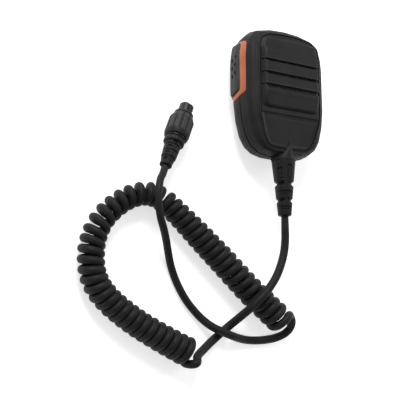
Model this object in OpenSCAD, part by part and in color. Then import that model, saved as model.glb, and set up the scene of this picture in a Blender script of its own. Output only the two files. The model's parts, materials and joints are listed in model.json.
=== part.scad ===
// Hand microphone for a mobile two-way radio: moulded case with a louvred front, side talk key,
// curly cord and round multi-pin plug. It lies on its back on its hang button.
// Frame: +X right seen from the front, +Y toward the top, +Z out of the front.
// The origin is the centre of the hang button's outer face.

/* [Case] */
// Half of the case width at its widest
case_half_w = 33.8; // [32:0.1:36]
// Half of the case height
case_half_h = 45.5; // [44:0.5:48]
// Height of the case middle above the hang button
case_mid_y = 3.5; // [2:0.5:5]
// Height of the flat front face over the back face
face_z = 26; // [25.5:0.1:27]
// Height of the joint between the two case halves
split_z = 13; // [12:0.5:14]
// Wall thickness of the case halves
wall = 2.2; // [1.8:0.1:2.6]
// Thickness of the case gasket
gasket_t = 0.6; // [0.4:0.1:0.8]

/* [Grille] */
// Height of the louvre crests over the back face
crest_z = 29.5; // [29:0.1:31]
// Half width of the louvre grooves
groove_half_w = 21.5; // [18:0.5:22]

/* [Talk key] */
// Distance of the key face from the middle of the case
key_x = 36.1; // [35.6:0.1:36.6]
// Radius of the key's hinge pin
pin_r = 1; // [0.8:0.05:1.1]

/* [Hang button] */
// Height of the hang button under the case back
stud_h = 4.5; // [4:0.1:6]
// Radius of the hang button's head
stud_r = 7.5; // [7:0.1:8]
// Thickness of the hang button's head
stud_head_t = 1.6; // [1.4:0.1:2]
// Radius of the hang button's neck
stud_neck_r = 4.75; // [4.5:0.05:5]

/* [Cord and plug] */
// Radius of the cord
cord_r = 2.35; // [2.2:0.05:2.4]
// Outer radius of the curled length
curl_r = 8.8; // [8.6:0.1:8.8]
// Radius of the plug's nose
nose_r = 4.8; // [4.5:0.05:4.9]
// Radius of the plug's coupling ring
ring_r = 8.4; // [8:0.1:8.5]
// Number of flutes round the coupling ring
ring_flutes = 11; // [8:1:16]
// Number of contacts in the outer circle of the plug
contacts = 7; // [5:1:8]

/* [Hidden] */
$fn = 32;
eps = 0.01;
run_gap = 0.05;
seat = 0.02;

// Levels over the case back: board, cord entry and the talk key's middle
board_z = 6;
board_t = 1.6;
board_top = board_z + board_t;
entry_z = 15.8;
key_z = 10.3;

// Cord entry: collar on the case, neck and flange of the strain relief
collar_r = 8.6;
neck_r = 6.6;
flange_r = 7.7;

// Case outline at its widest level, right half from bottom to top, with its half width, middle and half height
outline_half_w = 33.8;
outline_mid_y = 3.5;
outline_half_h = 45.5;
HALF_OUTLINE = [[0, -42], [12, -41.5], [20, -39.5], [25.5, -35.5], [29.5, -29], [32.4, -18],
                [33.8, -6], [33.8, 26], [32.8, 34], [29.5, 40.5], [23.5, 45], [12, 48], [0, 49]];
// How far the outline draws in at each level: height, draw in x, draw in y
LEVELS = [[0, 7, 6.5], [1.5, 3.5, 3.2], [4, 1.2, 1], [8, 0, 0], [14, 0.5, 0.3],
          [20.5, 2.2, 1.3], [26, 9.3, 6.5]];
// Front panel outline, right half from bottom to top
PANEL_HALF = [[0, -36.4], [14, -36], [17.8, -34], [20.5, -28], [24.2, -16], [24.2, 33],
              [22.5, 38.5], [18, 41], [0, 42]];

// Louvre grooves: upper edge and height of each
GROOVES = [[22.5, 2.2], [13.6, 3.0], [4.9, 4.0]];
CASE_SCREWS = [[-22, 37], [22, 37], [-19, -27], [19, -27]];
BOARD_SCREWS = [[-17, 30], [17, 30], [-15, -17], [15, -17]];
CLAMP_SCREWS = [-6.6, 6.6];
CLAMP_Y = -30;

// Talk key hinge and the middle of its press boss
KEY_PIVOT = [-31, 4.5];
BOSS_Y = 22;
// Trim and key shapes seen from the side, as [y, z]
TRIM_SIDE = [[-1.4, 3], [36.6, 3], [37.8, 6], [38, 14], [37, 18], [34.5, 19.8], [0.4, 19.8], [-4.4, 7.4]];
KEY_SIDE = [[-0.4, 4.2], [35.4, 4.2], [36.2, 6], [36.2, 11.6], [35, 13.4], [33, 14.2], [2.9, 14.2]];
// Key face and trim face seen from the front, as [x, y]
KEY_FRONT = [[-32.4, -3.2], [-35.2, -3.2], [-35.9, -1], [-36.1, 6], [-36.1, 21], [-35.3, 29],
             [-33.6, 35.6], [-32.4, 36.4]];
TRIM_FRONT = [[-29.6, -7], [-33.9, -7], [-33.9, 26], [-33.2, 33], [-32.2, 38.2], [-29.6, 38.2]];
DIMPLES = [[26.2, 11], [20.4, 11], [14.6, 11], [24.2, 7.6], [18.4, 7.6], [12.6, 7.6]];

// Cord from the case: straight out, over the curls, then down on the table to their first turn
MIC_LEAD = [[0, -82, 20.3], [0, -90, 20.3], [0.2, -98, 19.8], [-0.6, -106.5, 19.2], [-3.3, -114.8, 19.2],
            [-7.6, -122.8, 19.8], [-13.4, -130.2, 20.4], [-19.8, -136.8, 20.6], [-25.6, -142.8, 18],
            [-30.4, -149.4, 10.5], [-36, -155.8, 4], [-43.5, -162, 2.4], [-51, -167.8, 3.8],
            [-58, -172.6, 7], [-64, -174, 8.8]];
// Middle line of the curled length on the table, as [x, y]
CURL_LINE = [[-64, -174], [-72, -170.8], [-80, -167], [-93, -160.5], [-104, -154.5], [-114, -148],
             [-123, -141], [-129.5, -134], [-133.5, -126], [-135, -117], [-134.5, -108], [-132, -99.5],
             [-127.5, -91.5], [-121, -84.5], [-113, -78.5], [-104, -74.5], [-95, -73.5], [-86.5, -76.5],
             [-77, -83.5], [-66, -93], [-54, -103.3], [-43, -112.5], [-32, -122.3], [-22, -131],
             [-12, -139], [-2.5, -146.5], [5.5, -152.5]];
// Cord to the plug: from the last turn, over the other cord and over the curls
PLUG_LEAD = [[5.5, -152.5, 8.8], [11.5, -155, 7.2], [11, -161, 4], [4.5, -163.6, 2.6], [-4, -164.4, 2.4],
             [-12, -164.6, 2.4], [-20, -164.4, 2.6], [-28.5, -163.2, 4.8], [-36.5, -161.4, 7.8],
             [-43.5, -159, 8.2], [-50, -155.6, 5.8], [-56, -150.6, 3.4], [-61.5, -145, 2.4],
             [-66.5, -139.4, 2.4], [-70.8, -133, 2.4], [-74.5, -126, 2.4], [-78, -118, 3.2],
             [-81.6, -110.2, 6.4], [-85.6, -103, 11.2], [-90, -96.4, 16.2], [-93.8, -90, 19.4],
             [-95.6, -83, 20.5], [-96, -77, 20.6], [-95.2, -71, 19.9], [-93.1, -65, 17.8],
             [-90.8, -61.6, 16.2]];

// Plug: end of its boot, lean from the vertical and bearing
PLUG_POS = [-88.1, -55.8, 14.6];
PLUG_LEAN = 100;
PLUG_TURN = 65.3;
PLUG_AXIS = [sin(PLUG_LEAN) * cos(PLUG_TURN), sin(PLUG_LEAN) * sin(PLUG_TURN), cos(PLUG_LEAN)];
plug_len = 50.1;
seal_seat_r = 4.1;

// ---------- shared shapes ----------

// Lifts what is given over the back face by the hang button's height
module head() translate([0, 0, stud_h]) children();

// Puts what is given on the plug's axis, from the boot end toward the nose
module plug() translate(PLUG_POS) rotate([0, PLUG_LEAN, PLUG_TURN]) children();

// Turns a shape drawn as [y, z] so that it is extruded along +X from x0 over a length
module along_x(x0, length) translate([x0, 0, 0]) rotate([90, 0, 90]) linear_extrude(length) children();

// Turns a shape drawn as [x, z] so that it is extruded along +Y from y0 over a length
module along_y(y0, length) translate([0, y0 + length, 0]) rotate([90, 0, 0]) linear_extrude(length) children();

// Both halves of an outline that is given as its right half
function mirrored(half) = concat(half, [for (i = [len(half) - 2 : -1 : 1]) [-half[i][0], half[i][1]]]);

// Case outline drawn in by dx and dy
function drawn_in(dx, dy) = [for (p = mirrored(HALF_OUTLINE))
    [p[0] * (case_half_w - dx) / outline_half_w,
     case_mid_y + (p[1] - outline_mid_y) * (case_half_h - dy) / outline_half_h]];

// Solid outer form of the case, everywhere smaller by a distance
module case_form(less) {
    hull() for (level = LEVELS)
        translate([0, 0, level[0] == 0 ? less : min(level[0], face_z - less) - eps])
            linear_extrude(eps) polygon(drawn_in(level[1] + less, level[2] + less));
}

// Wedge over the front face that makes its lower part slope back
module lower_slope(less) {
    translate([-50, -13, face_z - less]) rotate([7, 0, 0]) translate([0, -60, 0]) cube([100, 60, 20]);
}

// Window in the case side for the talk key's trim
module key_window() along_x(-45, 16.4) polygon(TRIM_SIDE);

// Collar round the cord entry, with a beak that fades into the front face
module entry_collar() difference() {
    translate([0, -44, entry_z]) rotate([-90, 0, 0]) {
        cylinder(r = collar_r, h = 8);
        translate([0, 0, 8]) cylinder(r1 = collar_r, r2 = collar_r - 5.5, h = 6);
    }
    case_form(wall);
}

// Stepped hole for the strain relief's neck and the flange behind it
module entry_hole() translate([0, -46, entry_z]) rotate([-90, 0, 0]) {
    cylinder(r = neck_r + seat, h = 12);
    translate([0, 0, 6.4]) cylinder(r = flange_r + seat, h = 5);
}

// Screw that points along +Z: head under z = 0, shank from z = 0
module screw(head_r, head_t, shank_r, length) {
    difference() {
        translate([0, 0, -head_t]) cylinder(r = head_r, h = head_t);
        translate([0, 0, -head_t - eps]) rotate([0, 0, 45]) cube([head_r * 1.1, head_r * 0.28, head_t], center = true);
        translate([0, 0, -head_t - eps]) rotate([0, 0, 135]) cube([head_r * 1.1, head_r * 0.28, head_t], center = true);
    }
    cylinder(r = shank_r, h = length);
}

function unit(v) = v / norm(v);

// Direction of a path at one of its points
function heading(path, i) = unit(path[min(i + 1, len(path) - 1)] - path[max(i - 1, 0)]);

// Closed tube round a path
module tube(path, r, sides) {
    rings = len(path);
    points = [for (i = [0 : rings - 1])
        let (t = heading(path, i), a = unit(cross(t, [0, 0, 1])), b = cross(a, t))
        for (k = [0 : sides - 1]) path[i] + r * (cos(360 * k / sides) * a + sin(360 * k / sides) * b)];
    walls = [for (i = [0 : rings - 2], k = [0 : sides - 1])
        let (n = (k + 1) % sides)
        [i * sides + k, i * sides + n, (i + 1) * sides + n, (i + 1) * sides + k]];
    first_cap = [for (k = [sides - 1 : -1 : 0]) k];
    last_cap = [for (k = [0 : sides - 1]) (rings - 1) * sides + k];
    polyhedron(points = points, faces = concat([first_cap], walls, [last_cap]), convexity = 8);
}

// ---------- case ----------

module rear_case() color("#2b2c2f") head() difference() {
    union() {
        difference() {
            case_form(0);
            case_form(wall);
            translate([-50, -60, split_z]) cube([100, 120, 40]);
        }
        intersection() {
            entry_collar();
            translate([-20, -60, 0]) cube([40, 60, split_z]);
        }
        for (p = CASE_SCREWS) translate([p[0], p[1], 1.4]) cylinder(r = 3.6, h = split_z - 1.4);
        for (p = BOARD_SCREWS) translate([p[0], p[1], 1.4]) cylinder(r = 2.8, h = board_z - 1.4);
        for (x = CLAMP_SCREWS) translate([x, CLAMP_Y, 1.4]) cylinder(r = 2.4, h = split_z - 1.4);
        translate([0, 0, 1.4]) cylinder(r = 4.6, h = board_z - 2);
    }
    entry_hole();
    key_window();
    for (p = CASE_SCREWS) translate([p[0], p[1], -1]) {
        cylinder(r = 1.4, h = 20);
        cylinder(r = 2.7, h = 5.2);
    }
    for (p = BOARD_SCREWS) translate([p[0], p[1], 2.4]) cylinder(r = 0.85, h = 10);
    for (x = CLAMP_SCREWS) translate([x, CLAMP_Y, 5]) cylinder(r = 0.85, h = 12);
    translate([0, 0, -1]) cylinder(r = 1.3, h = 6);
}

module front_case() color("#2b2c2f") head() difference() {
    union() {
        difference() {
            case_form(0);
            case_form(wall);
            translate([-50, -60, -10]) cube([100, 120, split_z + gasket_t + 10]);
            lower_slope(0);
        }
        intersection() {
            entry_collar();
            translate([-20, -60, split_z + gasket_t]) cube([40, 60, 20]);
        }
        for (p = CASE_SCREWS) translate([p[0], p[1], split_z + gasket_t]) cylinder(r = 3.4, h = 8);
    }
    translate([0, 0, 18]) linear_extrude(20) polygon(mirrored(PANEL_HALF));
    entry_hole();
    key_window();
    for (p = CASE_SCREWS) translate([p[0], p[1], 10]) cylinder(r = 1.05, h = 9.6);
}

// Flat ring between the case halves, open at the talk key and the cord entry
module case_gasket() color("#151515") head() difference() {
    translate([0, 0, split_z]) linear_extrude(gasket_t) polygon(drawn_in(1.1, 0.9));
    translate([0, 0, split_z - 1]) linear_extrude(gasket_t + 2) polygon(drawn_in(2.3, 2.1));
    key_window();
    translate([-10.2, -50, 0]) cube([20.4, 18, 20]);
}

module case_screws() color("silver") head()
    for (p = CASE_SCREWS) translate([p[0], p[1], 4.2]) screw(2.4, 2, 1, 14.4);

// ---------- louvred front ----------

module grille_panel() color("#303135") head() difference() {
    union() {
        difference() {
            translate([0, 0, 21]) linear_extrude(face_z - 21) polygon([for (p = mirrored(PANEL_HALF)) p * 0.995]);
            lower_slope(0);
        }
        intersection() {
            along_x(-24, 48) polygon([[-10.4, 25], [-9.4, 27.8], [-3, crest_z - 0.6], [0.6, crest_z],
                                      [30.6, crest_z], [37.6, 28.2], [40.4, 25]]);
            along_y(-12, 54) polygon([[-23.8, 25], [-22, 28.4], [-21.7, crest_z], [21.7, crest_z],
                                      [22, 28.4], [23.8, 25]]);
        }
        translate([0, 12, 17]) cylinder(r = 8.4, h = 8);
    }
    difference() {
        translate([0, 0, 20]) linear_extrude(face_z - 22.2) polygon([for (p = mirrored(PANEL_HALF)) p * 0.9]);
        translate([0, 12, 17]) cylinder(r = 8.4, h = 8);
        lower_slope(2);
    }
    translate([0, 12, 16]) cylinder(r = 7, h = face_z - 18.2);
    for (g = GROOVES) translate([-groove_half_w, g[0] - g[1], 26.6]) cube([2 * groove_half_w, g[1], 8]);
    for (g = GROOVES, i = [-2 : 2])
        translate([i * 8 - 3, g[0] - g[1] / 2 - 0.6, 20]) cube([6, 1.2, 8]);
}

// Cloth that keeps dust out, stuck behind the slots
module dust_mesh() color("#1a1a1a") head() difference() {
    translate([-19.5, -2, face_z - 2.6]) cube([39, 28, 0.4]);
    translate([0, 12, 20]) cylinder(r = 8.5, h = 8);
}

module mic_capsule() color("silver") head() translate([0, 12, 17.2]) {
    cylinder(r = 4.85, h = 5.6);
    for (x = [-1.3, 1.3]) translate([x, 0, -2]) cylinder(r = 0.35, h = 2);
}

module mic_boot() color("#202020") head() translate([0, 12, 15.6]) difference() {
    cylinder(r = 6.95, h = 8.1);
    translate([0, 0, 1.6]) cylinder(r = 4.9, h = 8);
    for (x = [-1.3, 1.3]) translate([x, 0, -1]) cylinder(r = 0.5, h = 4);
}

// ---------- board ----------

module circuit_board() color("darkgreen") head() difference() {
    translate([-21, -21, board_z]) cube([42, 53.5, board_t]);
    for (p = BOARD_SCREWS) translate([p[0], p[1], 0]) cylinder(r = 1.1, h = 20);
}

module board_components() color("#333333") head() {
    translate([4, 20, board_top]) cube([7, 7, 1.4]);
    translate([-10, 2, board_top]) cube([5, 4, 1.6]);
    for (i = [0 : 3]) translate([-4 + i * 4, -6, board_top]) cube([2, 1.2, 0.9]);
    translate([12, 6, board_top]) cylinder(r = 2.5, h = 5.4);
    translate([-2, 28, board_top]) cylinder(r = 2, h = 4.8);
}

module board_screws() color("silver") head()
    for (p = BOARD_SCREWS) translate([p[0], p[1], board_top]) rotate([180, 0, 0]) screw(1.9, 1.2, 0.8, 5);

module switch_body() color("#222222") head() difference() {
    translate([-26.4, BOSS_Y - 4, board_top]) cube([8, 8, 5.6]);
    translate([-27, BOSS_Y - 1.6, key_z - 1.6]) cube([5, 3.2, 3.2]);
}

module switch_plunger() color("ivory") head()
    translate([-28, BOSS_Y - 1.5, key_z - 1.5]) cube([3.6, 3, 3]);

// ---------- talk key ----------

module ptt_key() color("#3a3d3c") head() difference() {
    union() {
        intersection() {
            along_x(-38, 8) polygon(KEY_SIDE);
            linear_extrude(20) polygon(KEY_FRONT);
            along_y(-6, 46) polygon([[-30, 3], [-35.4, 3], [-key_x, 5.2], [-key_x, 11.2], [-34.7, 14.4], [-30, 14.4]]);
        }
        translate([KEY_PIVOT[0], KEY_PIVOT[1], 4.8]) cylinder(r = 2, h = 9);
        translate([-33.5, BOSS_Y, key_z]) rotate([0, 90, 0]) cylinder(r = 1.6, h = 5.3);
    }
    translate([KEY_PIVOT[0], KEY_PIVOT[1], 0]) cylinder(r = pin_r + run_gap, h = 20);
    for (d = DIMPLES) translate([-key_x - 1, d[0], d[1]]) rotate([0, 90, 0]) cylinder(r = 0.9, h = 1.6);
    translate([-33.4, 30, key_z]) rotate([0, 90, 0]) cylinder(r = 2.3, h = 4);
}

// Coloured frame round the talk key, pressed into the case window
module ptt_trim() color("#d9662b") head() difference() {
    intersection() {
        along_x(-36, 10) polygon([for (p = TRIM_SIDE) [p[0] * 0.998, 11 + (p[1] - 11) * 0.994]]);
        linear_extrude(24) polygon(TRIM_FRONT);
        along_y(-8, 48) polygon([[-29.6, 2], [-33.1, 2], [-33.9, 8], [-33.7, 14], [-31.9, 20], [-29.6, 20]]);
    }
    along_x(-45, 20) polygon([for (p = KEY_SIDE) [16.6 + (p[0] - 16.6) * 1.03, 9.2 + (p[1] - 9.2) * 1.1]]);
    translate([KEY_PIVOT[0], KEY_PIVOT[1], 0]) cylinder(r = pin_r + seat, h = 17);
}

// Rubber sheet behind the trim, with a hole for the key's boss
module ptt_seal() color("#111111") head() difference() {
    along_x(-29.55, 0.8) polygon([[-0.9, 3.6], [36.4, 3.6], [37, 6], [37, 16], [34.5, 18.8], [1, 18.8], [-3.4, 7.6]]);
    translate([-31, BOSS_Y, key_z]) rotate([0, 90, 0]) cylinder(r = 2.3, h = 4);
    translate([KEY_PIVOT[0], KEY_PIVOT[1], 2.6]) cylinder(r = 2.4, h = 13);
}

module ptt_pivot_pin() color("silver") head()
    translate([KEY_PIVOT[0], KEY_PIVOT[1], 3.2]) cylinder(r = pin_r, h = 13.6);

// Return spring between the key and the seal
module ptt_spring() color("silver") head()
    for (i = [0 : 3]) translate([-31.9 + 0.65 * i, 30, key_z]) rotate([0, 90, 0])
        rotate_extrude() translate([1.7, 0]) circle(r = 0.25);

// ---------- hang button ----------

module hang_button() color("#1e1e1f") difference() {
    rotate_extrude() polygon([[0, 0], [stud_r - 0.4, 0], [stud_r, 0.4], [stud_r, stud_head_t],
                              [stud_neck_r, stud_head_t], [stud_neck_r, stud_h], [0, stud_h]]);
    translate([0, 0, -1]) cylinder(r = 1.6, h = 10);
    translate([0, 0, -1]) cylinder(r = 3.3, h = 3.2);
}

module hang_button_screw() color("silver") translate([0, 0, 2.2]) screw(3, 1.6, 1.25, 6.4);

// ---------- cord entry ----------

module cable_header() color("ivory") head() difference() {
    translate([-5, -17, board_top]) cube([10, 5, 5]);
    for (i = [-1.5 : 1.5]) translate([i * 2, -15.5, board_top + 2.6]) rotate([90, 0, 0]) cylinder(r = 0.55, h = 4);
}

// Four wires from the stripped cord end to the header
module wire_set() color("#7a2a20") head() for (i = [-1.5 : 1.5])
    tube([[i * 0.9, -23.7, entry_z + (abs(i) < 1 ? 1 : -0.6)], [i * 1.6, -22.4, 15.2], [i * 2, -20.6, 13],
          [i * 2, -19, 10.8], [i * 2, -17.4, 10.2], [i * 2, -15.6, 10.2]], 0.4, 8);

module cable_end() color("#161616") head()
    translate([0, -82, entry_z]) rotate([-90, 0, 0]) cylinder(r = cord_r - 0.05, h = 58);

module cable_clamp() color("silver") head() difference() {
    translate([-9, CLAMP_Y - 2.5, split_z]) cube([18, 5, 6.4]);
    translate([0, CLAMP_Y - 3, entry_z]) rotate([-90, 0, 0]) cylinder(r = cord_r, h = 6);
    translate([-cord_r, CLAMP_Y - 3, split_z - 1]) cube([2 * cord_r, 6, entry_z - split_z + 1]);
    for (x = CLAMP_SCREWS) translate([x, CLAMP_Y, 0]) cylinder(r = 1, h = 30);
}

module clamp_screws() color("silver") head()
    for (x = CLAMP_SCREWS) translate([x, CLAMP_Y, split_z + 6.4]) rotate([180, 0, 0]) screw(1.8, 1, 0.8, 12);

// Rubber strain relief: flanged neck in the case, then three tapering lengths with notches between
module strain_relief() color("#1d1d1e") head() difference() {
    translate([0, -82, entry_z]) rotate([-90, 0, 0]) rotate_extrude() polygon([
        [0, 0], [4.2, 0], [4.6, 0.6], [5.3, 8.6], [4.4, 9.8], [4.4, 10.6], [5.6, 11.8], [6.3, 20],
        [4.9, 21.3], [4.9, 22.1], [6.7, 23.8], [8.1, 36.8], [8.1, 38], [neck_r, 38], [neck_r, 42.4],
        [flange_r, 42.4], [flange_r, 44.6], [0, 44.6]]);
    translate([0, -90, entry_z]) rotate([-90, 0, 0]) cylinder(r = cord_r, h = 60);
    translate([2.4, -57.5, entry_z + 5.7]) cube([3, 9, 4]);
}

module cord_mic_lead() color("#161616") tube(MIC_LEAD, cord_r, 10);

module cord_curl() color("#161616") tube([for (p = CURL_LINE) [p[0], p[1], curl_r]], curl_r, 12);

// Runs on through the boot to the back of the plug's insert
module cord_plug_lead() color("#161616")
    tube(concat(PLUG_LEAD, [PLUG_POS, PLUG_POS + 12 * PLUG_AXIS, PLUG_POS + 21.4 * PLUG_AXIS]), cord_r, 10);

// ---------- plug ----------

module plug_boot() color("#1d1d1e") plug() difference() {
    rotate_extrude() polygon([
        [0, 0], [3.7, 0], [4.1, 0.4], [4.1, 1.2], [3.7, 1.8], [4.3, 5], [3.9, 5.6], [4.6, 6.2],
        [4.9, 9.6], [4.4, 10.2], [5, 10.8], [5.2, 14.2], [4.7, 14.8], [5.3, 15.4], [5.6, 17.6],
        [5.6, 21.4], [0, 21.4]]);
    translate([0, 0, -1]) cylinder(r = cord_r, h = 30);
}

module plug_back_nut() color("#252527") plug() difference() {
    rotate_extrude() polygon([[5.65, 17.6], [6.4, 17.6], [6.9, 18.1], [6.9, 20.6], [6.5, 21.2], [5.65, 21.2]]);
    for (i = [0 : 11]) rotate([0, 0, 30 * i]) translate([6.6, -0.4, 18.5]) cube([1, 0.8, 2]);
}

module plug_shell() color("#3a3a3c") plug() difference() {
    rotate_extrude() polygon([[2.4, 21.6], [6.8, 21.6], [6.8, 22.4], [5.5, 22.4], [5.5, 41.1],
                              [seal_seat_r, 41.1], [seal_seat_r, 43.2], [nose_r, 43.2],
                              [nose_r, plug_len - 0.4], [nose_r - 0.4, plug_len],
                              [3.6, plug_len], [3.6, 37.1], [2.4, 35.1]]);
    translate([3, -0.8, plug_len - 4]) cube([3, 1.6, 6]);
}

// Fluted ring that turns freely on the shell
module coupling_ring() color("#2a2a2c") plug() difference() {
    rotate_extrude() polygon([[5.5 + run_gap, 22.6], [7.6, 22.6], [ring_r, 25], [ring_r, 37],
                              [6.5, 40.9], [5.5 + run_gap, 40.9]]);
    for (i = [0 : ring_flutes - 1]) rotate([0, 0, i * 360 / ring_flutes])
        translate([ring_r + 0.5, 0, 26.6]) cylinder(r = 1, h = 14.5);
}

module plug_seal() color("#111111") plug() rotate_extrude()
    polygon([[seal_seat_r + seat, 41.3], [6.3, 41.3], [6.5, 41.6], [6.5, 42.5], [6.3, 42.8], [seal_seat_r + seat, 42.8]]);

module plug_insert() color("#0f0f10") plug() translate([0, 0, 37.5]) cylinder(r = 3.58, h = 9.8);

module plug_pins() color("gold") plug() translate([0, 0, 47.3]) {
    for (i = [0 : contacts - 1]) rotate([0, 0, (i + 0.5) * 360 / contacts]) translate([2.5, 0, 0]) cylinder(r = 0.4, h = 2);
    for (i = [0 : 2]) rotate([0, 0, i * 120]) translate([1, 0, 0]) cylinder(r = 0.4, h = 2);
}

rear_case();
front_case();
case_gasket();
case_screws();
grille_panel();
dust_mesh();
mic_capsule();
mic_boot();
circuit_board();
board_components();
board_screws();
switch_body();
switch_plunger();
ptt_key();
ptt_trim();
ptt_seal();
ptt_pivot_pin();
ptt_spring();
hang_button();
hang_button_screw();
cable_header();
wire_set();
cable_end();
cable_clamp();
clamp_screws();
strain_relief();
cord_mic_lead();
cord_curl();
cord_plug_lead();
plug_boot();
plug_back_nut();
plug_shell();
coupling_ring();
plug_seal();
plug_insert();
plug_pins();
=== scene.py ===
"""Palm microphone with a louvred front, a side talk key, a curly cord and a round multi-pin plug.

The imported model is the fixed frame. Each sub-assembly is a class that works its surfaces out as whole
numpy arrays in millimetres and lays them on the frame in metres.
"""

import json
import logging
import math
from dataclasses import dataclass, field
from enum import Enum
from typing import Optional, Sequence

import bmesh
import bpy
import numpy as np
from mathutils import Matrix

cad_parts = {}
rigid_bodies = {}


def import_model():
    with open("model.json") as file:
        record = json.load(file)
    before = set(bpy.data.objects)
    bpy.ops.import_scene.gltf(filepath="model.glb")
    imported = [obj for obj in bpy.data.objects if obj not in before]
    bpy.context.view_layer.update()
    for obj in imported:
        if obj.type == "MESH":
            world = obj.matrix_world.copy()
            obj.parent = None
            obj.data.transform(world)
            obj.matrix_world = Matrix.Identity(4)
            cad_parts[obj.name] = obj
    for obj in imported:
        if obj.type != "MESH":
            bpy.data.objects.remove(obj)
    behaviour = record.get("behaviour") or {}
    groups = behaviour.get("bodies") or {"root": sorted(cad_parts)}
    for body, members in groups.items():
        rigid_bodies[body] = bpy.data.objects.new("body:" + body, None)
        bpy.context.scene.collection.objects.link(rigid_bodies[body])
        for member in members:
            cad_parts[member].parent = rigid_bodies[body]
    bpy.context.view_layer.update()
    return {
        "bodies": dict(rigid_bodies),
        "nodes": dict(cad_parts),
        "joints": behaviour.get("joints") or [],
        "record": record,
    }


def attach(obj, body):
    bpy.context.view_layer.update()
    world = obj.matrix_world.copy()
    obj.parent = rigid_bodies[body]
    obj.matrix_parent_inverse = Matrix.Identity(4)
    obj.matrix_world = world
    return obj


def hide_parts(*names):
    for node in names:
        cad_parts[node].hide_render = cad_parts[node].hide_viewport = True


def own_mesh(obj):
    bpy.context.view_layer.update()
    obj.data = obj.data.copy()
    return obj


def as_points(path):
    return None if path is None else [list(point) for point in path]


LOG = logging.getLogger("hand_microphone")
MM = 0.001
HEAD_LIFT = 4.5
TURN = 2.0 * math.pi


# ---------- plane and solid shapes as arrays ----------


def smooth_step(value: np.ndarray, start: float, end: float) -> np.ndarray:
    """Rises from 0 at start to 1 at end along the curve t*t*(3 - 2t).

    Args:
        value: Where the curve is wanted.
        start: Where it leaves 0.
        end: Where it reaches 1; it may be below start.

    Returns:
        The curve's height at each value.
    """
    t = np.clip((value - start) / (end - start), 0.0, 1.0)
    return t * t * (3.0 - 2.0 * t)


def knots(value: np.ndarray, pairs: Sequence[Sequence[float]]) -> np.ndarray:
    """Straight lines through pairs of (place, height), with the places rising."""
    table = np.asarray(pairs, float)
    return np.interp(value, table[:, 0], table[:, 1])


def eased(points: Sequence[Sequence[float]], reach: float, steps: int = 3, closed: bool = False) -> np.ndarray:
    """Rounds the corners of a line: each becomes a quadratic curve between points at a reach on either side.

    Args:
        points: The line's corners, in any number of dimensions.
        reach: How far from a corner its curve starts, at most 0.45 of the shorter side.
        steps: How many spans each curve has.
        closed: Whether the last corner joins the first.

    Returns:
        The rounded line's points.
    """
    corner = np.asarray(points, float)
    before, after = np.roll(corner, 1, axis=0) - corner, np.roll(corner, -1, axis=0) - corner
    long_before = np.linalg.norm(before, axis=1, keepdims=True) + 1e-12
    long_after = np.linalg.norm(after, axis=1, keepdims=True) + 1e-12
    size = np.minimum(reach, 0.45 * np.minimum(long_before, long_after))
    start, end = corner + before / long_before * size, corner + after / long_after * size
    t = np.linspace(0.0, 1.0, steps + 1)[None, :, None]
    curve = (1 - t) ** 2 * start[:, None] + 2 * t * (1 - t) * corner[:, None] + t**2 * end[:, None]
    if closed:
        return curve.reshape(-1, corner.shape[1])
    inner = curve[1:-1].reshape(-1, corner.shape[1])
    return np.concatenate([corner[:1], inner, corner[-1:]])


def evenly(line: np.ndarray, count: int, closed: bool = False) -> np.ndarray:
    """Spaces a number of points evenly along a line by its running length."""
    path = np.concatenate([line, line[:1]]) if closed else line
    length = np.concatenate([[0.0], np.cumsum(np.linalg.norm(np.diff(path, axis=0), axis=1))])
    wanted = np.linspace(0.0, length[-1], count, endpoint=not closed)
    return np.stack([np.interp(wanted, length, path[:, k]) for k in range(path.shape[1])], axis=1)


def softened(ring: np.ndarray, window: int) -> np.ndarray:
    """Averages each point of an even closed ring with its neighbours over a window."""
    if window < 2:
        return ring
    wrapped = np.concatenate([ring[-window:], ring, ring[:window]])
    kernel = np.hanning(2 * window + 1)
    kernel /= kernel.sum()
    columns = [np.convolve(wrapped[:, k], kernel, mode="same")[window:-window] for k in range(ring.shape[1])]
    return np.stack(columns, axis=1)


def whole(half: Sequence[Sequence[float]]) -> np.ndarray:
    """Both halves of an outline given as its right half from bottom to top."""
    right = np.asarray(half, float)
    return np.concatenate([right, right[-2:0:-1] * [-1.0, 1.0]])


def corners(outline: Sequence[Sequence[float]], per_side: int, window: int) -> np.ndarray:
    """Puts the same number of points on every side of an outline and softens its corners."""
    points = np.asarray(outline, float)
    t = np.linspace(0.0, 1.0, per_side, endpoint=False)[None, :, None]
    sides = points[:, None] * (1 - t) + np.roll(points, -1, axis=0)[:, None] * t
    return softened(sides.reshape(-1, 2), window)


@dataclass(frozen=True)
class Axis:
    """A line that turned shapes stand on, with two directions across it."""

    start: tuple
    along: tuple
    front: tuple

    def place(self, radius: np.ndarray, bearing: np.ndarray, distance: np.ndarray) -> np.ndarray:
        """Turns radius, bearing from the front direction, and distance along the line into points.

        Args:
            radius: Distance from the line.
            bearing: Angle round it from the front direction, in radians.
            distance: Distance from the start.

        Returns:
            Points start + along*distance + radius*(front*cos + side*sin).
        """
        along = np.asarray(self.along, float) / np.linalg.norm(self.along)
        front = np.asarray(self.front, float) - np.dot(self.front, along) * along
        front /= np.linalg.norm(front)
        side = np.cross(along, front)
        radius, bearing, distance = np.broadcast_arrays(radius, bearing, distance)
        across = np.cos(bearing)[..., None] * front + np.sin(bearing)[..., None] * side
        return np.asarray(self.start, float) + distance[..., None] * along + radius[..., None] * across


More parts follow.
